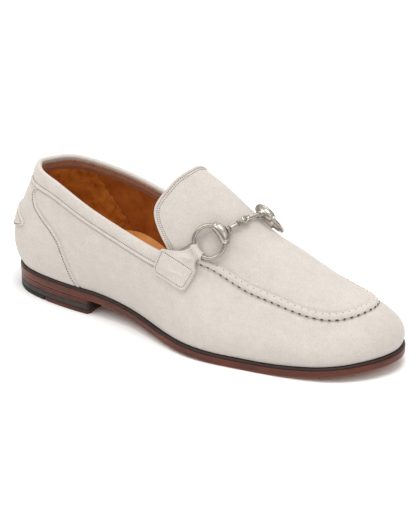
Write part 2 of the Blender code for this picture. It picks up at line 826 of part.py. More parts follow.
def strips(rows):
    """Faces between rows of points whose first and last rows are single."""
    faces = []
    for a, b in zip(rows[:-1], rows[1:]):
        if len(a) == 1:
            faces += [(a[0], b[k], b[k + 1]) for k in range(len(b) - 1)]
        elif len(b) == 1:
            faces += [(a[k], a[k + 1], b[0]) for k in range(len(a) - 1)]
        else:
            faces += [(a[k], a[k + 1], b[k + 1], b[k]) for k in range(len(a) - 1)]
    return faces


def skin_tree(pieces):
    """A search tree over the outer faces of the shoe's own pieces."""
    points = []
    faces = []
    for piece in pieces:
        start = len(points)
        points += [tuple(v.co) for v in piece.data.vertices]
        faces += [tuple(start + k for k in face.vertices) for face in piece.data.polygons]
    return BVHTree.FromPolygons(points, faces)


def drape(tree, middle, up, out, rows, thick):
    """Lay a flat pattern on the shoe and give its under and upper faces.

    rows are a height up the pattern, a half width and a sideways shift; the
    pattern drops along -out until it rests on the shoe, taut over hollows,
    and keeps its last row in its own plane.
    """
    across = np.cross(up, out)
    columns = np.linspace(-1.0, 1.0, DRAPE_COLUMNS)
    flat = np.array([[middle + up * b + across * (half * a + shift) for a in columns]
                     for b, half, shift in rows])
    height = np.zeros(flat.shape[:2])
    for index in np.ndindex(*height.shape):
        start = Vector(flat[index] + out * DRAPE_REACH)
        hit, _, _, reach = tree.ray_cast(start, Vector(-out), 2.0 * DRAPE_REACH)
        height[index] = DRAPE_REACH - reach if hit else -thick
    height[-1] = np.maximum(height[-1], -thick / 2.0 - DRAPE_GAP)
    rest = height.copy()
    for _ in range(60):
        mean = height.copy()
        mean[1:-1] = (height[2:] + height[:-2]) / 2.0
        side = height.copy()
        side[:, 1:-1] = (height[:, 2:] + height[:, :-2]) / 2.0
        height = np.maximum(rest, (mean + side) / 2.0)
    under = flat + (height[..., None] + DRAPE_GAP) * out
    return under, under + thick * out


def strap_rows(rise, lean):
    """Heights, half widths and shifts up a strap, from its tab to the ring."""
    half = STRAP_WIDTH / 2.0
    top = STRAP_TAB / 2.0
    tab = [(STRAP_TAB * (b - 0.5), half * w, 0.0)
           for b, w in ((0.0, 0.86), (0.03, 0.93), (0.09, 0.98), (0.20, 1.0), (0.47, 1.0),
                        (0.73, 1.0), (0.95, 1.0), (1.0, 0.99))]
    neck = [(top + (rise - top) * share, half + (STRAP_NECK / 2.0 - half) * drop, lean * share)
            for share, drop in ((0.12, 0.24), (0.26, 0.50), (0.42, 0.74), (0.60, 0.92),
                                (0.80, 1.0), (1.0, 0.96))]
    return tab + neck


def plate(flat_under, flat_over):
    """Points and faces of a draped piece, closed round its edge."""
    rows, columns = flat_under.shape[:2]
    points = np.concatenate([flat_under.reshape(-1, 3), flat_over.reshape(-1, 3)])
    count = rows * columns
    faces = []
    for r in range(rows - 1):
        for c in range(columns - 1):
            k = r * columns + c
            faces.append((k, k + 1, k + columns + 1, k + columns))
            faces.append((count + k, count + k + columns, count + k + columns + 1, count + k + 1))
    edge = [(0, c) for c in range(columns)]
    edge += [(r, columns - 1) for r in range(1, rows)]
    edge += [(rows - 1, c) for c in range(columns - 2, -1, -1)]
    edge += [(r, 0) for r in range(rows - 2, 0, -1)]
    ids = [r * columns + c for r, c in edge]
    for a, b in zip(ids, ids[1:] + ids[:1]):
        faces.append((a, b, count + b, count + a))
    return points, faces


def tube(centres, tangents, normals, radii, bores=None):
    """Points and faces of a round bar along a path, solid or bored through."""
    rings = []
    steps = 2.0 * math.pi * np.arange(TUBE_SIDES) / TUBE_SIDES
    sides = np.cross(tangents, normals)
    walls = [radii] if bores is None else [radii, bores[::-1]]
    for wall, values in enumerate(walls):
        order = range(len(centres)) if wall == 0 else range(len(centres) - 1, -1, -1)
        for k, radius in zip(order, values):
            ring = (np.cos(steps)[:, None] * normals[k] + np.sin(steps)[:, None] * sides[k])
            rings.append(centres[k] + ring * radius)
    return rings


def tube_faces(count, closed):
    """Faces of stacked rings, with flat ends or joined back to the first."""
    faces = []
    for k in range(count if closed else count - 1):
        faces += bridge(k * TUBE_SIDES, (k + 1) % count * TUBE_SIDES, TUBE_SIDES)
    if not closed:
        faces.append(tuple(range(TUBE_SIDES)))
        faces.append(tuple(range((count - 1) * TUBE_SIDES, count * TUBE_SIDES)))
    return faces


def arc_frames(centre, normal, start, angles, radius):
    """Centres, tangents and normals along an arc about a centre."""
    side = np.cross(normal, start)
    spoke = np.cos(angles)[:, None] * start + np.sin(angles)[:, None] * side
    run = -np.sin(angles)[:, None] * start + np.cos(angles)[:, None] * side
    return centre + spoke * radius, run, spoke


def seat(tree, point, out):
    """Where a line along -out through a point meets the shoe."""
    start = Vector(np.asarray(point, float) + out * DRAPE_REACH)
    hit, normal, _, _ = tree.ray_cast(start, Vector(-out))
    return np.array(hit), np.array(normal)


def skin_spot(tree, spot):
    """The point and the normal of the shoe's skin at a spot."""
    shares = np.array([spot.along, spot.across, spot.rise])
    point = shares * np.array([SHOE_LENGTH, BALL_WIDTH, INSTEP_RISE])
    return seat(tree, point, unit(np.array(spot.facing)))


def flat_on(vector, normal):
    """A vector laid into the plane across a normal."""
    return vector - normal * float(np.dot(vector, normal))


def seat_ring(tree, end, aim):
    """The ring's centre, its normal and its direction to the bit's middle."""
    centre, normal = skin_spot(tree, end.ring)
    angles = np.linspace(0.0, 2.0 * math.pi, 12, endpoint=False)
    for _ in range(3):
        inward = unit(flat_on(aim - centre, normal))
        points, _, _ = arc_frames(centre, normal, inward, angles, RING_RADIUS * 0.8)
        normals = [seat(tree, point, normal)[1] for point in points]
        normal = unit(np.sum(normals, axis=0))
    inward = unit(flat_on(aim - centre, normal))
    points, _, _ = arc_frames(centre, normal, inward, angles, RING_RADIUS)
    heights = np.array([np.dot(seat(tree, point, normal)[0] - centre, normal) for point in points])
    front = max(heights[0], heights[1], heights[-1]) + KEEPER_RADIUS + 3.0 * GAP
    back = max(heights[5:8]) + WIRE_RADIUS + SLEEVE_WALL + 3.0 * GAP
    lift = (front + back) / 2.0
    tilt = (front - back) / (2.0 * RING_RADIUS)
    wire = lift + tilt * RING_RADIUS * np.cos(angles)
    lift += max(0.0, float(np.max(heights + WIRE_RADIUS + 2.0 * GAP - wire)))
    centre = centre + normal * lift
    inward = unit(inward + normal * tilt)
    return centre, unit(flat_on(normal, inward)), inward


def build_ring(name, centre, normal, inward):
    """A round wire ring."""
    angles = np.linspace(0.0, 2.0 * math.pi, RING_STEPS, endpoint=False)
    centres, runs, spokes = arc_frames(centre, normal, inward, angles, RING_RADIUS)
    rings = tube(centres, runs, spokes, [WIRE_RADIUS] * RING_STEPS)
    finish(name, np.concatenate(rings), tube_faces(RING_STEPS, True), *NICKEL)


def build_keeper(name, centre, normal, inward):
    """The egg-shaped barrel that the ring runs through."""
    share = np.linspace(-1.0, 1.0, 9)
    centres, runs, spokes = arc_frames(centre, normal, inward, share * KEEPER_SWEEP / 2.0, RING_RADIUS)
    belly = KEEPER_MOUTH + (KEEPER_RADIUS - KEEPER_MOUTH) * (1.0 - np.abs(share) ** 2.2)
    bore = np.full(len(share), WIRE_RADIUS + GAP)
    rings = tube(centres, runs, spokes, belly, bore)
    finish(name, np.concatenate(rings), tube_faces(len(rings), True), *NICKEL)


def build_bar(name, start, end, upright):
    """A turned bar from the barrel to the middle, with its eye."""
    run = unit(end - start)
    side = unit(np.cross(run, upright))
    normal = np.cross(side, run)
    stop = end - run * EYE_RADIUS
    shares = np.array([0.0, 0.14, 0.24, 0.55, 0.84, 0.92, 1.0])
    radii = np.array([1.15, 1.12, 0.95, 0.85, 0.80, 1.0, 0.80]) * BAR_THICK
    centres = start + (stop - start) * shares[:, None]
    count = len(shares)
    rings = tube(centres, np.tile(run, (count, 1)), np.tile(normal, (count, 1)), radii)
    bar = finish(name, np.concatenate(rings), tube_faces(count, False), *NICKEL)
    angles = np.linspace(0.0, 2.0 * math.pi, EYE_STEPS, endpoint=False)
    centres, runs, spokes = arc_frames(end, side, run, angles, EYE_RADIUS)
    rings = tube(centres, runs, spokes, [EYE_WIRE] * EYE_STEPS)
    eye = finish(name + "_eye", np.concatenate(rings), tube_faces(EYE_STEPS, True), *NICKEL)
    combine(bar, eye, "UNION")
    return bar


def combine(piece, tool, operation):
    """Add a tool to a piece or cut it away, and keep the tool out of sight."""
    tool.hide_render = True
    tool.display_type = "WIRE"
    step = piece.modifiers.new(tool.name, "BOOLEAN")
    step.operation = operation
    step.object = tool
    step.solver = "EXACT"


def build_strap(tree, end, centre, normal):
    """One strap: its tab on the wall, its neck and the fold round the ring."""
    name = "strap_" + end.word
    tab, tab_normal = skin_spot(tree, end.tab)
    start = unit(flat_on(tab - centre, normal))
    fold = centre + start * RING_RADIUS
    out = unit(tab_normal + normal)
    neck = flat_on(fold - tab, out)
    ahead = unit(flat_on(np.array([1.0, 0.0, 0.0]), unit(neck)))
    ahead = unit(flat_on(ahead, out))
    cant = math.radians(end.cant)
    up = unit(unit(neck) * math.cos(cant) - ahead * math.sin(cant))
    rise = float(np.dot(neck, up))
    lean = float(np.dot(neck, np.cross(up, out)))
    under, over = drape(tree, fold - neck, up, out, strap_rows(rise, lean), STRAP_THICK)
    points, faces = plate(under, over)
    strap = finish(name, points, faces, *SUEDE)
    angles = np.linspace(-0.5, 0.5, 7) * SLEEVE_SWEEP
    centres, runs, spokes = arc_frames(centre, normal, start, angles, RING_RADIUS)
    bulk = WIRE_RADIUS + GAP + SLEEVE_WALL
    rings = tube(centres, runs, spokes, [bulk] * len(angles))
    sleeve = finish(name + "_fold", np.concatenate(rings), tube_faces(len(rings), False), *SUEDE)
    combine(strap, sleeve, "UNION")
    angles = np.linspace(0.0, 2.0 * math.pi, RING_STEPS, endpoint=False)
    centres, runs, spokes = arc_frames(centre, normal, start, angles, RING_RADIUS)
    rings = tube(centres, runs, spokes, [WIRE_RADIUS + GAP] * RING_STEPS)
    hole = finish(name + "_hole", np.concatenate(rings), tube_faces(RING_STEPS, True), *SUEDE)
    combine(strap, hole, "DIFFERENCE")
    return strap


def build_bit(tree):
    """Both rings, barrels and bars, and the straps that hold them."""
    knot, upright = skin_spot(tree, BIT_MIDDLE)
    knot = knot + upright * (EYE_RADIUS + EYE_WIRE + 3.0 * GAP)
    for end in BIT_ENDS:
        centre, normal, inward = seat_ring(tree, end, knot)
        build_ring("ring_" + end.word, centre, normal, inward)
        build_keeper("keeper_" + end.word, centre, normal, inward)
        socket = centre + inward * RING_RADIUS
        run = unit(knot - socket)
        start = socket + run * (KEEPER_RADIUS + 2.0 * GAP)
        turned = upright if end.side < 0 else np.cross(run, upright)
        build_bar("bar_" + end.word, start, knot - run * EYE_RADIUS / 2.0, turned)
        build_strap(tree, end, centre, normal)


def build_heel_tab(upper):
    """The leaf sewn round the back of the heel."""
    half_way = np.linalg.norm(np.diff(upper.sides[0], axis=0), axis=1).sum()
    across = np.linspace(-1.0, 1.0, HEEL_TAB_COLUMNS)
    s = (across * HEEL_TAB_HALF / half_way) % 2.0
    leaf = 0.12 + 0.88 * (1.0 - np.abs(across) ** 2.2)
    chord = np.linalg.norm(upper.surface(s, 1.0) - upper.surface(s, 0.0), axis=1)
    faces = []
    for height in (COUNTER_STEP + GAP, COUNTER_STEP + GAP + HEEL_TAB_THICK):
        rows = []
        for up in np.linspace(-0.5, 0.5, HEEL_TAB_ROWS):
            t = (HEEL_TAB_RISE + up * HEEL_TAB_HEIGHT * leaf) / chord
            rows.append(upper.surface(s, t) + upper.normal(s, t) * height)
        faces.append(np.array(rows))
    points, sides = plate(*faces)
    finish("heel_tab", points, sides, *SUEDE)


def set_down():
    """Centre the shoe's box over the origin, its lowest point at zero."""
    pieces = [piece for piece in bpy.data.objects if not piece.hide_render]
    corners = np.array([v.co for piece in pieces for v in piece.data.vertices])
    low, high = corners.min(0), corners.max(0)
    move = -np.array([(low[0] + high[0]) / 2.0, (low[1] + high[1]) / 2.0, low[2]])
    for piece in bpy.data.objects:
        piece.location = Vector(move)


def main():
    """Build every piece."""
    for piece in list(bpy.data.objects):
        bpy.data.objects.remove(piece, do_unlink=True)
    upper = Upper()
    build_sole()
    build_heel()
    build_insole()
    wall = build_upper(upper)
    apron = build_apron(upper)
    build_heel_tab(upper)
    build_bit(skin_tree([wall, apron]))
    set_down()


main()
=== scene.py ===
"""The looks of a suede bit loafer, the right shoe of a pair, over its CAD part.

Metres, +X to the toe, +Y to the wearer's left (the medial side), +Z up. The
forms are laid out from the back of the outsole, as in the CAD part, and each
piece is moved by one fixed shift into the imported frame.
"""

import logging
import math
from dataclasses import dataclass, field
from enum import Enum
from typing import Callable, NamedTuple, Sequence

import bmesh
import bpy
import numpy as np
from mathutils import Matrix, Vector
from mathutils.bvhtree import BVHTree


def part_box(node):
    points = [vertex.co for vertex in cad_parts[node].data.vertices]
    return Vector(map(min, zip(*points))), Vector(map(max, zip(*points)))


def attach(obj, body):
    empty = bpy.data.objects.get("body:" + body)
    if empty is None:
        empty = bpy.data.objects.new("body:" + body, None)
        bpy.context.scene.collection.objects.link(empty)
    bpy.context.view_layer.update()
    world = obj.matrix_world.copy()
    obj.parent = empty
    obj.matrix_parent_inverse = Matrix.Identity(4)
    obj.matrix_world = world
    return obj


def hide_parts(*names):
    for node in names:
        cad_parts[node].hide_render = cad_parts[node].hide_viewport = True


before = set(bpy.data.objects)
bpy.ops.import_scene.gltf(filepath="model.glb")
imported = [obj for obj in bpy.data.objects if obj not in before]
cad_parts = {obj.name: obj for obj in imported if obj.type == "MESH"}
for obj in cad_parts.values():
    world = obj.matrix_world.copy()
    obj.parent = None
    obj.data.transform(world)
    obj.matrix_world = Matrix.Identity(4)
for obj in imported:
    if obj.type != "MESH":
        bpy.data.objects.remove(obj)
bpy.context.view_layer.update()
LOG = logging.getLogger("loafer")
EDGE_POINTS = 3000
Array = np.ndarray
Material = bpy.types.Material
Socket = bpy.types.NodeSocket

# Driving sizes of the sole
SHOE_LENGTH = 0.290
BALL_WIDTH = 0.101
HEEL_WIDTH = 0.066
HEEL_HEIGHT = 0.0109
TOE_SPRING = 0.0072
OUTSOLE_THICK = 0.0051
OUTSOLE_ROUND = 0.0006
RAND_THICK = 0.0014
RAND_INSET = 0.0004
HEEL_LENGTH = 0.076
TOP_PIECE_THICK = 0.0027
RUBBER_LENGTH = 0.038
LIFT_THICK = 0.0036
HEEL_INSET = 0.0003
INSOLE_THICK = 0.0030

# Driving sizes of the upper
FEATHER_INSET = 0.0022
WALL = 0.0022
BACK_RISE = 0.0700
INSTEP_RISE = 0.0700
CUFF_DEPTH = 0.0112
CUFF_STEP = 0.0006
COUNTER_STEP = 0.0006
STEP_RUN = 0.0005
APRON_THICK = 0.0021
ROLL_WIDTH = 0.0052
ROLL_HEIGHT = 0.0013
TONGUE_TUCK = 0.0030
TONGUE_INSET = 0.0008
ROW_STEP = 0.0005
HEEL_TAB_HALF = 0.0340
HEEL_TAB_HEIGHT = 0.0150
HEEL_TAB_RISE = 0.0365
HEEL_TAB_THICK = 0.0013

# Driving sizes of the straps and the bit
STRAP_WIDTH = 0.0272
STRAP_TAB = 0.0160
STRAP_NECK = 0.0100
STRAP_THICK = 0.0015
RING_RADIUS = 0.0105
WIRE_RADIUS = 0.0012
KEEPER_RADIUS = 0.0037
KEEPER_MOUTH = 0.0026
KEEPER_SWEEP = math.radians(80.0)
SLEEVE_WALL = 0.0011
SLEEVE_SWEEP = math.radians(54.0)
BAR_THICK = 0.0015
EYE_RADIUS = 0.0020
EYE_WIRE = 0.0008

# Clearance between pieces that touch
GAP = 0.0003

# How far pieces are dropped when they are laid on the upper
DRAPE_REACH = 0.030
DRAPE_GAP = 0.0006


class Outline(NamedTuple):
    """One pair of points on the sole's edge: shares of the length and a width."""
    along: float
    across: float
    lateral: float
    medial: float


SOLE_OUTLINE = (
    Outline(0.018, HEEL_WIDTH, 0.235, 0.235),
    Outline(0.055, HEEL_WIDTH, 0.385, 0.385),
    Outline(0.115, HEEL_WIDTH, 0.475, 0.470),
    Outline(0.255, HEEL_WIDTH, 0.527, 0.490),
    Outline(0.362, BALL_WIDTH, 0.352, 0.300),
    Outline(0.465, BALL_WIDTH, 0.436, 0.290),
    Outline(0.569, BALL_WIDTH, 0.518, 0.355),
    Outline(0.690, BALL_WIDTH, 0.491, 0.462),
    Outline(0.810, BALL_WIDTH, 0.429, 0.455),
    Outline(0.903, BALL_WIDTH, 0.334, 0.390),
    Outline(0.970, BALL_WIDTH, 0.160, 0.275),
)
TOE_ACROSS = 0.078


class Rise(NamedTuple):
    """Height of the outsole's underside: shares of the heel and the toe spring."""
    along: float
    heel: float
    toe: float


SOLE_RISE = (
    Rise(0.000, 1.03, 0.0),
    Rise(0.140, 1.01, 0.0),
    Rise(0.262, 0.96, 0.0),
    Rise(0.362, 0.65, 0.0),
    Rise(0.466, 0.31, 0.0),
    Rise(0.569, 0.10, 0.0),
    Rise(0.660, 0.00, 0.0),
    Rise(0.740, 0.00, 0.0),
    Rise(0.862, 0.00, 0.28),
    Rise(1.000, 0.00, 1.0),
)


class Ridge(NamedTuple):
    """One section of the crown over the forefoot and the instep."""
    along: float
    across: float
    rise: float
    drop: float


CROWN = (
    Ridge(0.400, -0.090, 1.800, 1.06),
    Ridge(0.470, -0.090, 1.640, 1.02),
    Ridge(0.540, -0.082, 1.445, 0.92),
    Ridge(0.610, -0.066, 1.240, 0.76),
    Ridge(0.680, -0.043, 1.015, 0.56),
    Ridge(0.760, -0.015, 0.840, 0.41),
    Ridge(0.840, 0.015, 0.630, 0.33),
    Ridge(0.920, 0.045, 0.439, 0.30),
    Ridge(1.000, 0.065, 0.248, 0.30),
)
CROWN_POWER = 2.0
CROWN_HALF = 0.330
CROWN_LEAN_THROAT = 0.75
CROWN_LEAN_TOE = 0.10


class Wall(NamedTuple):
    """One rib of the upper: where it stands, where it ends and how it curves.

    foot is the share of the way from the heel's back to the toe's tip along
    the sole's edge. along, across and rise place its top as shares of the
    length, the ball width and the back's rise; a rise of None lies on the
    crown. The leans are in degrees, outwards at the foot and inwards at the
    top, and the pulls are shares of the rib's chord.
    """
    foot: float
    along: float
    across: float
    rise: float | None
    foot_lean: float
    foot_pull: float
    top_lean: float
    top_pull: float


HEEL_BACK = Wall(0.00, 0.050, 0.000, 1.010, 36.0, 0.32, 20.0, 0.45)
TOE_TIP = Wall(1.00, 0.937, 0.048, None, 30.0, 0.36, 60.0, 0.42)

LATERAL_WALL = (
    Wall(0.06, 0.066, -0.092, 1.015, 34.0, 0.32, 19.0, 0.45),
    Wall(0.13, 0.098, -0.180, 1.012, 26.0, 0.32, 15.0, 0.42),
    Wall(0.21, 0.160, -0.248, 0.975, 18.0, 0.30, 13.0, 0.38),
    Wall(0.29, 0.240, -0.290, 0.870, 14.0, 0.28, 14.0, 0.36),
    Wall(0.39, 0.350, -0.325, 0.783, 16.0, 0.28, 20.0, 0.34),
    Wall(0.48, 0.484, -0.386, 0.757, 20.0, 0.30, 30.0, 0.34),
    Wall(0.57, 0.571, -0.358, None, 24.0, 0.32, 45.0, 0.36),
    Wall(0.66, 0.672, -0.333, None, 26.0, 0.34, 50.0, 0.38),
    Wall(0.76, 0.776, -0.304, None, 26.0, 0.36, 55.0, 0.40),
    Wall(0.87, 0.884, -0.195, None, 28.0, 0.36, 58.0, 0.42),
)
MEDIAL_WALL = (
    Wall(0.06, 0.066, 0.092, 1.015, 34.0, 0.32, 19.0, 0.45),
    Wall(0.13, 0.098, 0.184, 1.012, 26.0, 0.32, 15.0, 0.42),
    Wall(0.21, 0.160, 0.255, 0.965, 18.0, 0.30, 13.0, 0.38),
    Wall(0.29, 0.250, 0.295, 0.885, 12.0, 0.28, 12.0, 0.36),
    Wall(0.39, 0.365, 0.288, 0.810, 8.0, 0.28, 14.0, 0.34),
    Wall(0.48, 0.482, 0.232, 0.775, 10.0, 0.30, 26.0, 0.34),
    Wall(0.57, 0.585, 0.216, None, 16.0, 0.32, 42.0, 0.36),
    Wall(0.66, 0.680, 0.240, None, 24.0, 0.34, 50.0, 0.38),
    Wall(0.76, 0.785, 0.276, None, 26.0, 0.36, 55.0, 0.40),
    Wall(0.87, 0.890, 0.235, None, 28.0, 0.36, 58.0, 0.42),
)
STRAP_REAR = 0.48
STRAP_FRONT = 0.57
TONGUE_FOOT = 0.51
SEAM_START = 0.52
SEAM_FULL = 0.58
CHORD_SWELL = 1.08


class Counter(NamedTuple):
    """Where the counter's edge crosses one height of the wall."""
    height: float
    foot: float


COUNTER_EDGE = (
    Counter(0.00, 0.245),
    Counter(0.15, 0.236),
    Counter(0.35, 0.230),
    Counter(0.54, 0.223),
    Counter(0.66, 0.203),
    Counter(0.76, 0.168),
    Counter(0.85, 0.135),
    Counter(0.93, 0.120),
    Counter(1.00, 0.130),
)


class Hem(NamedTuple):
    """One pair of points on the tongue's free edge, laid out from its ridge."""
    along: float
    lateral: float
    medial: float


TONGUE_EDGE = (
    Hem(0.637, 0.286, 0.270),
    Hem(0.622, 0.285, 0.269),
    Hem(0.604, 0.280, 0.264),
    Hem(0.585, 0.273, 0.258),
    Hem(0.567, 0.263, 0.248),
    Hem(0.551, 0.248, 0.230),
    Hem(0.538, 0.223, 0.198),
    Hem(0.526, 0.184, 0.150),
    Hem(0.518, 0.146, 0.090),
    Hem(0.514, 0.092, 0.026),
    Hem(0.513, 0.035, -0.035),
)


class Spot(NamedTuple):
    """A spot of the shoe's skin and the way it faces.

    The place is given in shares of the length, the ball width and the
    instep's rise.
    """
    along: float
    across: float
    rise: float
    facing: tuple


class BitEnd(NamedTuple):
    """One end of the bit: its ring's spot, its strap's spot and cant."""
    word: str
    side: float
    ring: Spot
    tab: Spot
    cant: float


BIT_MIDDLE = Spot(0.635, -0.138, 1.220, (0.55, -0.35, 0.76))
BIT_ENDS = (
    BitEnd("lateral", -1.0, Spot(0.586, -0.286, 1.05, (0.16, -0.89, 0.42)),
           Spot(0.519, -0.410, 0.762, (0.05, -0.94, 0.34)), 25.0),
    BitEnd("medial", 1.0, Spot(0.653, 0.060, 1.10, (0.45, 0.60, 0.65)),
           Spot(0.552, 0.300, 0.720, (0.05, 0.94, 0.34)), 32.0),
)


def smooth(places: Sequence[float], values: Sequence[float], at: Array) -> Array:
    """Read a monotone cubic through a short table, flat where it is flat.

    Args:
        places: places of the table
        values: value at each place
        at: places to read at

    Returns:
        the values there
    """
    x = np.asarray(places, float)
    y = np.asarray(values, float)
    step = np.diff(x)
    slope = np.diff(y) / step
    tangent = np.zeros(len(x))
    for k in range(1, len(x) - 1):
        if slope[k - 1] * slope[k] > 0.0:
            before = 2.0 * step[k] + step[k - 1]
            after = step[k] + 2.0 * step[k - 1]
            tangent[k] = (before + after) / (before / slope[k - 1] + after / slope[k])
    tangent[0] = slope[0]
    tangent[-1] = slope[-1]
    at = np.clip(np.asarray(at, float), x[0], x[-1])
    k = np.clip(np.searchsorted(x, at) - 1, 0, len(step) - 1)
    t = (at - x[k]) / step[k]
    h = step[k]
    return ((1 + 2 * t) * (1 - t) ** 2 * y[k] + t * (1 - t) ** 2 * h * tangent[k]
            + t ** 2 * (3 - 2 * t) * y[k + 1] + t ** 2 * (t - 1) * h * tangent[k + 1])


class Loop:
    """A smooth closed line through points at given places of one period."""

    def __init__(self, places: Sequence[float], points: Sequence, period: float) -> None:
        """Solve the bends so that the line is smooth at every point.

        Args:
            places: places round the loop
            points: a point at each place
            period: length of one round
        """
        self.places = np.asarray(places, float)
        self.points = np.asarray(points, float)
        self.period = period
        count = len(self.places)
        self.step = np.diff(np.append(self.places, self.places[0] + period))
        chord = (np.roll(self.points, -1, 0) - self.points) / self.step[:, None]
        system = np.zeros((count, count))
        for k in range(count):
            system[k, k - 1] += self.step[k - 1]
            system[k, k] += 2.0 * (self.step[k - 1] + self.step[k])
            system[k, (k + 1) % count] += self.step[k]
        self.bend = np.linalg.solve(system, 6.0 * (chord - np.roll(chord, 1, 0)))

    def at(self, place: Array) -> Array:
        """Points at places given as an array, any number of periods round.

        Args:
            place: places round it

        Returns:
            the points there
        """
        place = (np.asarray(place, float) - self.places[0]) % self.period + self.places[0]
        k = np.searchsorted(self.places, place, side="right") - 1
        after = (k + 1) % len(self.places)
        h = self.step[k][..., None]
        b = (place - self.places[k])[..., None] / h
        a = 1.0 - b
        return (a * self.points[k] + b * self.points[after]
                + ((a ** 3 - a) * self.bend[k] + (b ** 3 - b) * self.bend[after]) * h ** 2 / 6.0)


def unit(vectors: Array) -> Array:
    """The same vectors at length one."""
    return vectors / np.linalg.norm(vectors, axis=-1, keepdims=True)


def underside(x: Array) -> Array:
    """Height of the outsole's underside at a length.

    Args:
        x: length

    Returns:
        heights
    """
    places = [row.along * SHOE_LENGTH for row in SOLE_RISE]
    heights = [row.heel * HEEL_HEIGHT + row.toe * TOE_SPRING for row in SOLE_RISE]
    return smooth(places, heights, x)


def feather_height(x: Array) -> Array:
    """Height at which the upper and the insole stand on the rand."""
    return underside(x) + OUTSOLE_THICK + GAP + RAND_THICK + GAP


def sole_line() -> tuple[Loop, float]:
    """The sole's outline as a closed loop from the back of the heel.

    Returns:
        the outline, and the toe's place on it
    """
    lateral = [(row.along * SHOE_LENGTH, -row.lateral * row.across) for row in SOLE_OUTLINE]
    medial = [(row.along * SHOE_LENGTH, row.medial * row.across) for row in SOLE_OUTLINE]
    toe = (SHOE_LENGTH, TOE_ACROSS * BALL_WIDTH)
    points = np.array([(0.0, 0.0), *lateral, toe, *reversed(medial)])
    chords = np.linalg.norm(np.roll(points, -1, 0) - points, axis=1)
    places = np.concatenate([[0.0], np.cumsum(chords)[:-1]])
    return Loop(places, points, chords.sum()), places[len(lateral) + 1]


def side_tables(inset: float) -> list[Array]:
    """Dense lateral and medial edges, from heel to toe, moved inwards.

    Args:
        inset: how far inside the outline

    Returns:
        one edge for each side
    """
    line, toe_place = sole_line()
    sides = []
    for start, end in ((0.0, toe_place), (line.period, toe_place)):
        place = np.linspace(start, end, EDGE_POINTS)
        point = line.at(place)
        turn = 1.0 if start == 0.0 else -1.0
        along = unit(line.at(place + turn * 1e-5) - line.at(place - turn * 1e-5))
        inward = np.stack([-along[:, 1], along[:, 0]], 1) * turn
        sides.append(point + inward * inset)
    return sides


def edge_at(sides: Sequence[Array], share: Array) -> Array:
    """Points of the edge for shares 0 to 1 lateral and 1 to 2 medial.

    Args:
        sides: lateral and medial edge
        share: share along one side, plus 1 on the way back

    Returns:
        points in plan
    """
    share = np.asarray(share, float) % 2.0
    out = np.zeros(share.shape + (2,))
    for side, table in enumerate(sides):
        run = np.concatenate([[0.0], np.cumsum(np.linalg.norm(np.diff(table, axis=0), axis=1))])
        run = run / run[-1]
        want = share if side == 0 else 2.0 - share
        here = (share <= 1.0) if side == 0 else (share > 1.0)
        for axis in (0, 1):
            out[..., axis] = np.where(here, np.interp(want, run, table[:, axis]), out[..., axis])
    return out


def half_place(s: Array) -> Array:
    """The place on one half of the loop, 0 at the heel and 1 at the toe."""
    return np.minimum(s % 2.0, 2.0 - s % 2.0)


def crown_column(name: str, size: float, x: Array) -> Array:
    """One column of the crown's table, times a size, read at lengths."""
    places = [row.along * SHOE_LENGTH for row in CROWN]
    return smooth(places, [getattr(row, name) * size for row in CROWN], x)


def crown_centre(x: Array) -> Array:
    """Sideways place of the crown's ridge."""
    return crown_column("across", BALL_WIDTH, x)


def crown_drop(x: Array, y: Array) -> Array:
    """How far the crown has fallen from its ridge."""
    off = np.abs(y - crown_centre(x)) / (CROWN_HALF * BALL_WIDTH)
    return crown_column("drop", INSTEP_RISE, x) * off ** CROWN_POWER


def crown(x: Array, y: Array) -> Array:
    """Height of the crown over a point in plan."""
    return feather_height(x) + crown_column("rise", INSTEP_RISE, x) - crown_drop(x, y)


def crown_normal(x: Array, y: Array) -> Array:
    """Outward normal of the crown over a point in plan.

    Args:
        x: length
        y: side place

    Returns:
        unit normals
    """
    d = 0.0005
    slope_x = (crown(x + d, y) - crown(x - d, y)) / (2 * d)
    slope_y = (crown(x, y + d) - crown(x, y - d)) / (2 * d)
    return unit(np.stack([-slope_x, -slope_y, np.ones_like(slope_x)], -1))


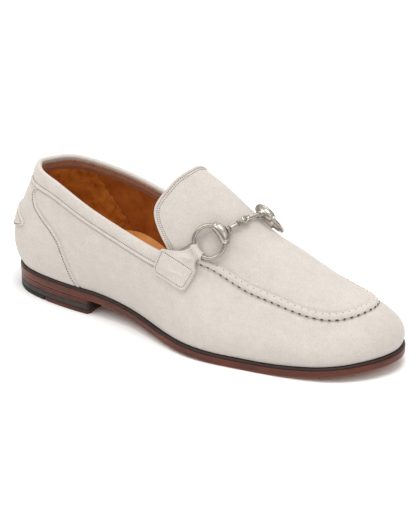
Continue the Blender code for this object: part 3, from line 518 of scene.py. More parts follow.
class Upper:
    """The hollow wall: ribs from the feather line to the collar or the seam."""

    def __init__(self) -> None:
        """Read the tables of the wall once."""
        self.sides = side_tables(FEATHER_INSET)
        rows = [HEEL_BACK, *LATERAL_WALL, TOE_TIP, *reversed(MEDIAL_WALL)]
        lateral = len(LATERAL_WALL) + 1
        places = [row.foot if k <= lateral else 2.0 - row.foot for k, row in enumerate(rows)]
        tops = []
        for row in rows:
            x = row.along * SHOE_LENGTH
            y = row.across * BALL_WIDTH
            if row.rise is None:
                z = float(crown(x, y))
            else:
                z = float(feather_height(x)) + row.rise * BACK_RISE
            tops.append((x, y, z))
        self.top_line = Loop(places, tops, 2.0)
        shape = [(r.foot_lean, r.foot_pull, r.top_lean, r.top_pull) for r in rows]
        self.shape = Loop(places, shape, 2.0)

    def seam_weight(self, s: Array) -> Array:
        """0 along the collar, 1 where the apron is sewn on."""
        t = np.clip((half_place(s) - SEAM_START) / (SEAM_FULL - SEAM_START), 0.0, 1.0)
        return t * t * (3.0 - 2.0 * t)

    def top(self, s: Array) -> Array:
        """The top line, on the crown where the apron is sewn on.

        Args:
            s: place round the loop

        Returns:
            points of the top line
        """
        point = self.top_line.at(s)
        weight = self.seam_weight(s)
        lifted = crown(point[..., 0], point[..., 1])
        point[..., 2] = point[..., 2] * (1.0 - weight) + lifted * weight
        return point

    def top_frame(self, s: Array) -> tuple[Array, Array, Array]:
        """Top point, outward normal and direction up the wall at its edge.

        Args:
            s: place round the loop

        Returns:
            points, normals and directions
        """
        d = 0.002
        point = self.top(s)
        run = unit(self.top(s + d) - self.top(s - d))
        outward = unit(np.stack([run[..., 1], -run[..., 0], np.zeros_like(run[..., 0])], -1))
        lean = np.radians(self.shape.at(s)[..., 2:3])
        up = np.array([0.0, 0.0, 1.0])
        rise = np.cos(lean) * up - np.sin(lean) * outward
        flat = crown_normal(point[..., 0], point[..., 1])
        over = unit(np.cross(flat, run))
        weight = self.seam_weight(s)[..., None]
        climb = rise * (1.0 - weight) + over * weight
        climb = unit(climb - run * (climb * run).sum(-1, keepdims=True))
        normal = unit(np.cross(run, climb))
        return point, normal, climb

    def surface(self, s: Array, t: Array) -> Array:
        """The outer face at places round the loop and shares up the rib.

        Args:
            s: place round the loop
            t: share up the rib

        Returns:
            points of the face
        """
        s, t = np.broadcast_arrays(np.asarray(s, float), np.asarray(t, float))
        d = 0.001
        plan = edge_at(self.sides, s)
        ahead = edge_at(self.sides, s + d)
        behind = edge_at(self.sides, s - d)
        run = unit(ahead - behind)
        outward = np.stack([run[..., 1], -run[..., 0], np.zeros_like(run[..., 0])], -1)
        foot = np.concatenate([plan, feather_height(plan[..., 0])[..., None]], -1)
        point, _, climb = self.top_frame(s)
        lean, foot_pull, _, top_pull = np.moveaxis(self.shape.at(s), -1, 0)
        chord = np.linalg.norm(point - foot, axis=-1)[..., None]
        lean = np.radians(lean)[..., None]
        start = np.cos(lean) * np.array([0.0, 0.0, 1.0]) + np.sin(lean) * outward
        b = foot + start * chord * foot_pull[..., None]
        c = point - climb * chord * top_pull[..., None]
        t = t[..., None]
        return ((1 - t) ** 3 * foot + 3 * (1 - t) ** 2 * t * b
                + 3 * (1 - t) * t ** 2 * c + t ** 3 * point)

    def normal(self, s: Array, t: Array) -> Array:
        """Outward normal of the outer face.

        Args:
            s: place round the loop
            t: share up the rib

        Returns:
            unit normals
        """
        ds = 0.002
        dt = 0.01
        low = np.clip(t - dt, 0.0, 1.0)
        high = np.clip(t + dt, 0.0, 1.0)
        round_run = self.surface(s + ds, t) - self.surface(s - ds, t)
        up_run = self.surface(s, high) - self.surface(s, low)
        return unit(np.cross(round_run, up_run))

    def columns(self) -> Array:
        """Places of the ribs of one half, with a pair at the counter's edge.

        Returns:
            places round one half
        """
        edge = COUNTER_EDGE[0].foot
        step = STEP_RUN / SHOE_LENGTH
        heel = np.linspace(0.0, edge, 13)
        quarter = np.linspace(edge + step, STRAP_REAR, 9)
        strap = np.linspace(STRAP_REAR, STRAP_FRONT, 7)[1:]
        toe = np.linspace(STRAP_FRONT, 1.0, 20)[1:]
        return np.concatenate([heel, quarter, strap, toe])

    def cuff_share(self, s: Array) -> Array:
        """Share up the rib at which the cuff's lower edge runs."""
        return 1.0 - CUFF_DEPTH / (CHORD_SWELL * self.chord(s))

    def chord(self, s: Array) -> Array:
        """Straight length from the foot of a rib to its top.

        Args:
            s: place round the loop

        Returns:
            the lengths
        """
        plan = edge_at(self.sides, s)
        foot = np.concatenate([plan, feather_height(plan[..., 0])[..., None]], -1)
        return np.linalg.norm(self.top(s) - foot, axis=-1)


def lean_at(station: Array) -> Array:
    """How far the crown's sections lean back at a ridge station."""
    places = [0.62 * SHOE_LENGTH, 0.90 * SHOE_LENGTH]
    return smooth(places, [CROWN_LEAN_THROAT, CROWN_LEAN_TOE], station)


def ridge_spot(station: Array, y: Array) -> Array:
    """Length at which the section from a ridge station meets a side place.

    Args:
        station: ridge stations
        y: side place

    Returns:
        the lengths
    """
    x = station.copy()
    for _ in range(12):
        x = station - lean_at(station) * crown_drop(x, y)
    return x


def ridge_station(x: Array, y: Array) -> Array:
    """Ridge station of the leaning section through a point in plan.

    Args:
        x: length
        y: side place

    Returns:
        the stations
    """
    station = np.array(x, float)
    for _ in range(12):
        station = x + lean_at(station) * crown_drop(x, y)
    return station


def apron_edge(upper: Upper, side: float) -> tuple[Array, Array]:
    """Half of the apron's edge from the toe to the tongue's end.

    Args:
        upper: the CAD wall
        side: -1 lateral, 1 medial

    Returns:
        its points, and the share of the sewn seam at each
    """
    half = upper.columns()
    seam = half[half >= TONGUE_FOOT - 1e-9][::-1]
    places = seam if side < 0 else 2.0 - seam
    point, normal, climb = upper.top_frame(places)
    fall = np.clip((STRAP_FRONT - seam) / (STRAP_FRONT - TONGUE_FOOT) * 2.0, 0.0, 2.0)[:, None]
    sink = np.clip(fall, 0.0, 1.0)
    tuck = np.clip(fall - 1.0, 0.0, 1.0)
    edge = (point - normal * ((WALL + 3.0 * GAP) * sink + TONGUE_INSET * tuck)
            + climb * (GAP * (1.0 - tuck) - TONGUE_TUCK * tuck))
    station = np.array([row.along for row in TONGUE_EDGE]) * SHOE_LENGTH
    across = np.array([row.lateral if side < 0 else row.medial for row in TONGUE_EDGE])
    hem_y = crown_centre(station[-1]) + across * BALL_WIDTH * side
    hem_x = ridge_spot(station, hem_y)
    lift = float(edge[-1, 2] - crown(edge[-1, 0], edge[-1, 1]))
    fade = np.clip(1.0 - np.arange(len(station)) / 5.0, 0.0, 1.0) ** 2
    hem = np.column_stack([hem_x, hem_y, crown(hem_x, hem_y) + lift * fade])
    weight = np.concatenate([upper.seam_weight(places), np.zeros(len(hem))])
    points = np.concatenate([edge, hem])
    station = ridge_station(points[:, 0], points[:, 1])
    step = ROW_STEP * np.arange(len(points))
    points[:, 0] += np.minimum.accumulate(station + step) - step - station
    return points, weight


def drape(tree: BVHTree, middle: Array, up: Array, out: Array, rows: Sequence[tuple], columns: Array,
          thick: float, rounds: int) -> tuple[Array, Array]:
    """Lay a flat pattern on the shoe and give its under and upper faces.

    The pattern drops along -out until it rests on the shoe, taut over
    hollows, and keeps its last row in its own plane.

    Args:
        tree: the shoe's skin
        middle: the pattern's origin
        up: direction up the pattern
        out: direction off the shoe
        rows: height, half width and sideways shift of each row
        columns: sideways shares
        thick: thickness of the leather
        rounds: how often it is eased

    Returns:
        points of both faces by row and column
    """
    across = np.cross(up, out)
    flat = np.array([[middle + up * b + across * (half * a + shift) for a in columns]
                     for b, half, shift in rows])
    height = np.zeros(flat.shape[:2])
    for index in np.ndindex(*height.shape):
        start = Vector(flat[index] + out * DRAPE_REACH)
        hit, _, _, reach = tree.ray_cast(start, Vector(-out), 2.0 * DRAPE_REACH)
        height[index] = DRAPE_REACH - reach if hit else -thick
    height[-1] = np.maximum(height[-1], -thick / 2.0 - DRAPE_GAP)
    rest = height.copy()
    for _ in range(rounds):
        mean = height.copy()
        mean[1:-1] = (height[2:] + height[:-2]) / 2.0
        side = height.copy()
        side[:, 1:-1] = (height[:, 2:] + height[:, :-2]) / 2.0
        height = np.maximum(rest, (mean + side) / 2.0)
    under = flat + (height[..., None] + DRAPE_GAP) * out
    return under, under + thick * out


def arc_frames(centre: Array, normal: Array, start: Array, angles: Array,
               radius: float) -> tuple[Array, Array, Array]:
    """Centres, tangents and normals along an arc about a centre.

    Args:
        centre: middle of the arc
        normal: normal of its plane
        start: direction of angle 0
        angles: angles from the start, in radians
        radius: radius of the arc

    Returns:
        centres, tangents and normals
    """
    side = np.cross(normal, start)
    spoke = np.cos(angles)[:, None] * start + np.sin(angles)[:, None] * side
    run = -np.sin(angles)[:, None] * start + np.cos(angles)[:, None] * side
    return centre + spoke * radius, run, spoke


def seat(tree: BVHTree, point: Array, out: Array) -> tuple[Array, Array]:
    """Where a line along -out through a point meets the shoe.

    Args:
        tree: the shoe's skin
        point: a point on the line
        out: direction off the shoe

    Returns:
        the point and its normal
    """
    start = Vector(np.asarray(point, float) + out * DRAPE_REACH)
    hit, normal, _, _ = tree.ray_cast(start, Vector(-out))
    return np.array(hit), np.array(normal)


def skin_spot(tree: BVHTree, spot: Spot) -> tuple[Array, Array]:
    """The point and the normal of the shoe's skin at a spot.

    Args:
        tree: the shoe's skin
        spot: its place and facing

    Returns:
        the point and its normal
    """
    shares = np.array([spot.along, spot.across, spot.rise])
    point = shares * np.array([SHOE_LENGTH, BALL_WIDTH, INSTEP_RISE])
    return seat(tree, point, unit(np.array(spot.facing)))


def flat_on(vector: Array, normal: Array) -> Array:
    """A vector laid into the plane across a normal."""
    return vector - normal * float(np.dot(vector, normal))


def seat_ring(tree: BVHTree, end: BitEnd, aim: Array) -> tuple[Array, Array, Array]:
    """The ring's centre, its normal and its direction to the bit's middle.

    Args:
        tree: the shoe's skin
        end: spots of the strap and the ring
        aim: the point that the ring faces

    Returns:
        centre, normal and direction
    """
    centre, normal = skin_spot(tree, end.ring)
    angles = np.linspace(0.0, 2.0 * math.pi, 12, endpoint=False)
    for _ in range(3):
        inward = unit(flat_on(aim - centre, normal))
        points, _, _ = arc_frames(centre, normal, inward, angles, RING_RADIUS * 0.8)
        normals = [seat(tree, point, normal)[1] for point in points]
        normal = unit(np.sum(normals, axis=0))
    inward = unit(flat_on(aim - centre, normal))
    points, _, _ = arc_frames(centre, normal, inward, angles, RING_RADIUS)
    heights = np.array([np.dot(seat(tree, point, normal)[0] - centre, normal) for point in points])
    front = max(heights[0], heights[1], heights[-1]) + KEEPER_RADIUS + 3.0 * GAP
    back = max(heights[5:8]) + WIRE_RADIUS + SLEEVE_WALL + 3.0 * GAP
    lift = (front + back) / 2.0
    tilt = (front - back) / (2.0 * RING_RADIUS)
    wire = lift + tilt * RING_RADIUS * np.cos(angles)
    lift += max(0.0, float(np.max(heights + WIRE_RADIUS + 2.0 * GAP - wire)))
    centre = centre + normal * lift
    inward = unit(inward + normal * tilt)
    return centre, unit(flat_on(normal, inward)), inward


class Side(Enum):
    """The two sides of the shoe, by the sign of their sideways direction."""
    LATERAL = -1.0
    MEDIAL = 1.0


class Crease(NamedTuple):
    """A soft trough or ridge of the wall, placed by shares round and up it."""
    side: Side
    foot: float
    height: float
    length: float
    width: float
    slant: float
    depth: float


CREASES = (
    Crease(Side.LATERAL, 0.640, 0.62, 0.020, 0.0045, 62.0, -0.00028),
    Crease(Side.LATERAL, 0.668, 0.56, 0.022, 0.0050, 58.0, 0.00022),
    Crease(Side.LATERAL, 0.700, 0.50, 0.018, 0.0055, 54.0, -0.00022),
    Crease(Side.LATERAL, 0.455, 0.55, 0.030, 0.0090, 70.0, -0.00035),
    Crease(Side.LATERAL, 0.360, 0.45, 0.026, 0.0100, 100.0, 0.00030),
    Crease(Side.LATERAL, 0.110, 0.40, 0.024, 0.0080, 20.0, -0.00025),
    Crease(Side.MEDIAL, 0.640, 0.60, 0.020, 0.0045, 118.0, -0.00026),
    Crease(Side.MEDIAL, 0.672, 0.55, 0.022, 0.0050, 122.0, 0.00022),
    Crease(Side.MEDIAL, 0.450, 0.52, 0.032, 0.0090, 100.0, -0.00035),
    Crease(Side.MEDIAL, 0.350, 0.48, 0.026, 0.0100, 80.0, 0.00028),
    Crease(Side.MEDIAL, 0.120, 0.45, 0.022, 0.0080, 160.0, -0.00024),
)


@dataclass(frozen=True)
class WallSizes:
    """Sizes of the wall's relief and of its mesh."""
    column_step: float = 0.00105
    edge_step: float = 0.00022
    edge_reach: float = 0.0040
    rows: int = 48
    fine_rows: int = 18
    cuff_rows: int = 30
    rim_rows: int = 12
    rim: float = 0.0015
    seam_rim: float = 0.00025
    bead: float = 0.00042
    bead_width: float = 0.00055
    bead_place: float = 0.0005
    fold: float = 0.0006
    groove: float = 0.00052
    puff: float = 0.00070
    seam_groove: float = 0.00060
    seam_reach: float = 0.0014
    pucker: float = 0.00013
    pucker_reach: float = 0.0040
    band: float = 0.0085
    band_lift: float = 0.00045


@dataclass(frozen=True)
class StitchSizes:
    """Lengths between stitches, how far rows stand from edges and the thread."""
    counter_pitch: float = 0.0018
    counter_inset: float = 0.0021
    cuff_pitch: float = 0.0016
    cuff_inset: float = 0.0025
    apron_pitch: float = 0.0048
    tongue_pitch: float = 0.0014
    strap_pitch: float = 0.00135
    strap_inset: float = 0.0017
    strap_bar: float = 0.0012
    leaf_pitch: float = 0.0017
    leaf_inset: float = 0.0014
    band_pitch: float = 0.0019
    thread: float = 0.00074


WALL_SIZES = WallSizes()
STITCHES = StitchSizes()


def hump(x: Array, width: float) -> Array:
    """A soft bump of height one."""
    return np.exp(-(x / width) ** 2)


def ramp(x: Array, width: float) -> Array:
    """0 before zero, 1 after, over a width."""
    t = np.clip(x / width + 0.5, 0.0, 1.0)
    return t * t * (3.0 - 2.0 * t)


def nearest(points: Array, line: Array) -> Array:
    """Distance of each point to the nearest point of a dense line.

    Args:
        points: places to measure from
        line: points of the line

    Returns:
        the distances
    """
    flat = points.reshape(-1, 3)
    found = np.empty(len(flat))
    for start in range(0, len(flat), 4000):
        part = flat[start:start + 4000]
        off = part[:, None, :] - line[None, :, :]
        found[start:start + 4000] = np.sqrt((off ** 2).sum(-1).min(1))
    return found.reshape(points.shape[:-1])


def run_of(points: Array) -> Array:
    """Length along a line at each of its points."""
    return np.concatenate([[0.0], np.cumsum(np.linalg.norm(np.diff(points, axis=0), axis=1))])


def grid_faces(rows: int, columns: int, closed: bool = False, start: int = 0) -> Array:
    """Quads over a grid of points, joined round in its columns if closed.

    Args:
        rows: number of rows
        columns: points in a row
        closed: whether it joins round
        start: number of the first point

    Returns:
        four corners a face
    """
    r = np.arange(rows - 1)[:, None]
    c = np.arange(columns if closed else columns - 1)[None, :]
    n = (c + 1) % columns
    corners = [r * columns + c, r * columns + n, (r + 1) * columns + n, (r + 1) * columns + c]
    return start + np.stack(corners, -1).reshape(-1, 4)


@dataclass
class Form:
    """The points and faces of one piece, with values kept at its points."""
    points: Array
    faces: list
    values: dict = field(default_factory=dict)


def join_forms(forms: Sequence[Form]) -> Form:
    """Several forms as one.

    Args:
        forms: what to join

    Returns:
        one form
    """
    start = 0
    faces: list = []
    for form in forms:
        faces += [tuple(start + k for k in face) for face in form.faces]
        start += len(form.points)
    return Form(np.concatenate([form.points for form in forms]), faces)


def lofted(rings: Sequence[Array], ends: bool = False) -> Form:
    """A skin through rings of points, with flat ends if asked for.

    Args:
        rings: rings of as many points each
        ends: whether flat ends close it

    Returns:
        the skin
    """
    rows = np.array(rings)
    count = rows.shape[1]
    faces = grid_faces(len(rows), count, True).tolist()
    if ends:
        faces.append(list(range(count)))
        faces.append(list(range((len(rows) - 1) * count, len(rows) * count)))
    return Form(rows.reshape(-1, 3), faces)


def shell(under: Array, over: Array) -> Form:
    """A thin closed piece between two grids of points.

    Args:
        under: points of the underside
        over: points of the upper face

    Returns:
        the closed piece
    """
    rows, columns = under.shape[:2]
    count = rows * columns
    edge = [(0, c) for c in range(columns)]
    edge += [(r, columns - 1) for r in range(1, rows)]
    edge += [(rows - 1, c) for c in range(columns - 2, -1, -1)]
    edge += [(r, 0) for r in range(rows - 2, 0, -1)]
    ids = [r * columns + c for r, c in edge]
    faces = grid_faces(rows, columns).tolist()
    faces += [face[::-1] for face in grid_faces(rows, columns, start=count).tolist()]
    faces += [(a, b, count + b, count + a) for a, b in zip(ids, ids[1:] + ids[:1])]
    return Form(np.concatenate([under.reshape(-1, 3), over.reshape(-1, 3)]), faces)


def tubed(centres: Array, runs: Array, spokes: Array, radii: Array,
          sides: int, closed: bool, ends: bool = False) -> Form:
    """A round bar along a path.

    Args:
        centres: points of the middle line
        runs: directions along the line
        spokes: directions across the line
        radii: radius at each point
        sides: points round the bar
        closed: whether the path joins round
        ends: whether flat ends close it

    Returns:
        the bar
    """
    angle = 2.0 * math.pi * np.arange(sides) / sides
    across = np.cross(runs, spokes)
    rings = (centres[:, None] + radii[:, None, None]
             * (np.cos(angle)[None, :, None] * spokes[:, None]
                + np.sin(angle)[None, :, None] * across[:, None]))
    if closed:
        rings = np.concatenate([rings, rings[:1]])
    return lofted(rings, ends=ends)


def read_line(at: Array, run: Array, points: Array) -> Array:
    """Points of a line at lengths along it."""
    return np.stack([np.interp(at, run, column) for column in points.T], 1)


def strip_faces(rows: Sequence[Sequence[int]]) -> list:
    """Faces between rows of point numbers, from a single point to a single point.

    Args:
        rows: point numbers of each row

    Returns:
        the faces
    """
    faces: list = []
    for a, b in zip(rows[:-1], rows[1:]):
        if len(a) == 1:
            faces += [(a[0], b[k], b[k + 1]) for k in range(len(b) - 1)]
        elif len(b) == 1:
            faces += [(a[k], a[k + 1], b[0]) for k in range(len(a) - 1)]
        else:
            faces += [(a[k], a[k + 1], b[k + 1], b[k]) for k in range(len(a) - 1)]
    return faces


def grid_normals(points: Array) -> Array:
    """Normals of a grid of points, by its rows and columns.

    Args:
        points: points by row and column

    Returns:
        unit normals
    """
    along = np.gradient(points, axis=0)
    across = np.gradient(points, axis=1)
    return unit(np.cross(across, along) + 1e-15)


def read_grid(grid: Array, row: Array, column: Array) -> Array:
    """Values of a grid at places between its points.

    Args:
        grid: values by row and column
        row: row places
        column: column places

    Returns:
        the values there
    """
    row = np.clip(row, 0, grid.shape[0] - 1.001)
    column = np.clip(column, 0, grid.shape[1] - 1.001)
    r = row.astype(int)
    c = column.astype(int)
    u = (row - r)[..., None]
    v = (column - c)[..., None]
    return ((1 - u) * (1 - v) * grid[r, c] + (1 - u) * v * grid[r, c + 1]
            + u * (1 - v) * grid[r + 1, c] + u * v * grid[r + 1, c + 1])


@dataclass
class UpperWall:
    """The suede wall with its counter, cuff, creases and seam groove."""
    upper: Upper
    sizes: WallSizes = WALL_SIZES

    def __post_init__(self) -> None:
        """Draw the counter's lines and measure the seam."""
        upper = self.upper
        heights = np.linspace(0.0, 1.0, 260)
        feet = smooth([row.height for row in COUNTER_EDGE],
                      [row.foot for row in COUNTER_EDGE], heights)
        lines = []
        for places in (feet, 2.0 - feet):
            lines.append(upper.surface(places, heights * upper.cuff_share(places)))
        self.counter_lines = lines
        self.half_run = float(run_of(upper.sides[0])[-1])
        place = np.linspace(1.0, 0.5, 900)
        self.seam_places = place[::-1]
        self.seam_runs = {side: run_of(upper.top(place if side is Side.LATERAL else 2.0 - place))[::-1]
                          for side in Side}

    def counter_foot(self, height: Array) -> Array:
        """Place of the counter's edge at a share of the wall's height."""
        return smooth([row.height for row in COUNTER_EDGE],
                      [row.foot for row in COUNTER_EDGE], np.clip(height, 0.0, 1.0))

    def seam_run(self, s: Array) -> Array:
        """Length along the sewn seam from the toe.

        Args:
            s: place round the loop

        Returns:
            the lengths
        """
        half = half_place(s)
        lateral = np.interp(half, self.seam_places, self.seam_runs[Side.LATERAL])
        medial = np.interp(half, self.seam_places, self.seam_runs[Side.MEDIAL])
        return np.where(s % 2.0 <= 1.0, lateral, medial)

    def chord(self, s: Array) -> Array:
        """Length up the wall, nearly."""
        return CHORD_SWELL * self.upper.chord(s)

    def lift(self, s: Array, t: Array, points: Array) -> Array:
        """How far the outer face stands off the plain wall.

        Args:
            s: place round the loop
            t: share up the rib
            points: points of the plain wall

        Returns:
            the heights
        """
        k = self.sizes
        weight = self.upper.seam_weight(s)
        collar = 1.0 - weight
        chord = self.chord(s)
        foot = 1.0 - CUFF_DEPTH / chord
        over = (t - foot) * chord
        near = np.minimum(nearest(points, self.counter_lines[0]),
                          nearest(points, self.counter_lines[1]))
        near = np.where(half_place(s) < self.counter_foot(t / foot), near, -near)
        counter = (COUNTER_STEP * ramp(near, k.fold) + k.bead * hump(near - k.bead_place, k.bead_width)
                   - k.groove * hump(near + k.fold, k.fold)
                   - k.groove * 0.7 * hump(near - STITCHES.counter_inset, k.fold))
        cuff = (CUFF_STEP * ramp(over, k.fold) + k.bead * hump(over - k.bead_place, k.bead_width)
                - k.groove * 1.3 * hump(over + k.fold, k.bead_place)
                - k.groove * 0.9 * hump(over - STITCHES.cuff_inset, k.fold)
                + k.puff * hump(over - 0.62 * CUFF_DEPTH, 0.32 * CUFF_DEPTH))
        under = 1.0 - ramp(over, k.fold) * collar
        left = (1.0 - t) * chord
        phase = 2.0 * math.pi * self.seam_run(s) / STITCHES.apron_pitch
        seam = weight * (-k.seam_groove * hump(left, k.seam_reach)
                         - k.pucker * np.cos(phase) * hump(left - 0.0012, k.pucker_reach))
        lift = counter * under + cuff * collar + seam
        for crease in CREASES:
            lift = lift + self.crease_lift(crease, s, t / foot, chord)
        return lift

    def crease_lift(self, crease: Crease, s: Array, height: Array,
                    chord: Array) -> Array:
        """The lift of one soft crease.

        Args:
            crease: its place, size and depth
            s: place round the loop
            height: share of the wall's height
            chord: length of the ribs there

        Returns:
            the heights
        """
        here = (s % 2.0 <= 1.0) if crease.side is Side.LATERAL else (s % 2.0 > 1.0)
        a = (half_place(s) - crease.foot) * self.half_run
        b = (height - crease.height) * chord
        turn = math.radians(crease.slant)
        along = a * math.cos(turn) + b * math.sin(turn)
        across = -a * math.sin(turn) + b * math.cos(turn)
        return here * crease.depth * hump(along, crease.length) * hump(across, crease.width)

    def outer(self, s: Array, t: Array) -> Array:
        """The outer face with its relief."""
        points = self.upper.surface(s, t)
        return points + self.upper.normal(s, t) * self.lift(s, t, points)[..., None]

    def places(self) -> Array:
        """Column places round the shoe before they bend to the counter's edge.

        Returns:
            places round the loop
        """
        k = self.sizes
        run = self.half_run
        edge = COUNTER_EDGE[0].foot
        reach = k.edge_reach / run
        heel = np.linspace(0.0, edge - reach, int((edge - reach) * run / k.column_step))
        fine = np.linspace(edge - reach, edge + reach, int(2.0 * k.edge_reach / k.edge_step))
        front = np.linspace(edge + reach, 1.0, int((1.0 - edge - reach) * run / k.column_step))
        half = np.concatenate([heel, fine[1:], front[1:]])
        return np.concatenate([half, (2.0 - half[1:-1])[::-1]])

    def bent(self, places: Array, height: float) -> Array:
        """Column places bent so that one column follows the counter's edge.

        Args:
            places: places round the loop
            height: share of the wall's height

        Returns:
            the moved places
        """
        edge = COUNTER_EDGE[0].foot
        here = float(self.counter_foot(np.array(height)))
        moved = np.interp(half_place(places), [0.0, edge, STRAP_REAR, 1.0], [0.0, here, STRAP_REAR, 1.0])
        return np.where(places <= 1.0, moved, 2.0 - moved)

    def rim_radius(self, s: Array) -> Array:
        """Height of the rounded rim."""
        weight = self.upper.seam_weight(s)
        return self.sizes.rim * (1.0 - weight) + self.sizes.seam_rim * weight

    def form(self) -> Form:
        """The whole wall, up its outer face, over the rim and down the band.

        Returns:
            the suede skin
        """
        k = self.sizes
        places = self.places()
        rings = []
        fine = np.linspace(0.93, 1.0, k.fine_rows)
        for share in np.concatenate([np.linspace(0.0, 0.93, k.rows)[:-1], fine]):
            s = self.bent(places, share)
            ring = self.outer(s, share * self.upper.cuff_share(s))
            ring[:, 2] = np.maximum(ring[:, 2], feather_height(ring[:, 0]))
            rings.append(ring)
        s = self.bent(places, 1.0)
        chord = self.chord(s)
        foot = self.upper.cuff_share(s)
        radius = self.rim_radius(s)
        end = 1.0 - radius / chord
        for share in np.linspace(0.0, 1.0, k.cuff_rows)[1:].tolist():
            eased = 0.4 * share + 0.3 * (1.0 - math.cos(math.pi * share))
            rings.append(self.outer(s, foot + (end - foot) * eased))
        outer_lift = self.lift(s, end, self.upper.surface(s, end))
        collar = 1.0 - self.upper.seam_weight(s)
        inner_lift = WALL + k.band_lift * collar
        point, normal, climb = self.upper.top_frame(s)
        base = point + climb * (0.0007 * (1.0 - collar) - radius)[:, None]
        middle = base + normal * ((outer_lift - inner_lift) / 2.0)[:, None]
        half_width = (outer_lift + inner_lift) / 2.0
        for angle in np.linspace(0.0, math.pi, k.rim_rows)[1:]:
            rings.append(middle + normal * (half_width * math.cos(angle))[:, None]
                         + climb * (radius * math.sin(angle))[:, None])
        band_start = len(rings)
        for depth in np.linspace(k.rim, k.band - 0.0004, 9)[1:]:
            rings.append(self.inner(s, 1.0 - depth / chord, inner_lift))
        rings.append(self.inner(s, 1.0 - k.band / chord, WALL))
        rings.append(self.inner(s, 1.0 - 2.0 * k.band / chord, WALL - 0.0006))
        inside = np.zeros((len(rings), len(places)))
        inside[band_start:] = 1.0
        inside[band_start - 2:band_start + 2] = np.array([0.15, 0.35, 0.60, 0.80])[:, None]
        inside = inside * collar[None, :]
        form = lofted(rings)
        form.values["inside"] = inside.reshape(-1)
        return form

    def inner(self, s: Array, t: Array, depth: Array) -> Array:
        """The inner face at a depth under the outer one."""
        t = np.clip(t, 0.0, 1.0)
        return self.upper.surface(s, t) - self.upper.normal(s, t) * np.asarray(depth)[..., None]

    def lining(self) -> Form:
        """The leather lining from under the band to the insole.

        Returns:
            the lining
        """
        places = np.linspace(0.0, 2.0, 620, endpoint=False)
        chord = self.chord(places)
        top = 1.0 - (self.sizes.band - 0.0010) / chord
        rings = []
        patches = []
        for share in np.linspace(1.0, 0.02, 44):
            t = top * share
            rings.append(self.inner(places, t, WALL - LINING_TUCK))
            boundary = LINING_SEAM.top + (LINING_SEAM.foot - LINING_SEAM.top) * (1.0 - share)
            patches.append((half_place(places) - boundary) * self.half_run)
        form = lofted(rings)
        form.values["patch"] = np.array(patches).reshape(-1)
        return form


class LiningSeam(NamedTuple):
    """Where the heel's lining meets the quarters', at the top and the foot."""
    top: float
    foot: float


LINING_SEAM = LiningSeam(0.200, 0.305)
LINING_TUCK = 0.0001


def tongue_droop(x: Array, y: Array) -> Array:
    """How far the tongue's far corner rolls down towards its tip.

    Args:
        x: length
        y: side place

    Returns:
        the heights
    """
    tip = x - TONGUE_EDGE[-1].along * SHOE_LENGTH
    far = ramp(y - crown_centre(x) - 0.002, 0.018)
    return -0.0034 * np.exp(-(np.maximum(tip, -0.004) / 0.0095) ** 2) * far


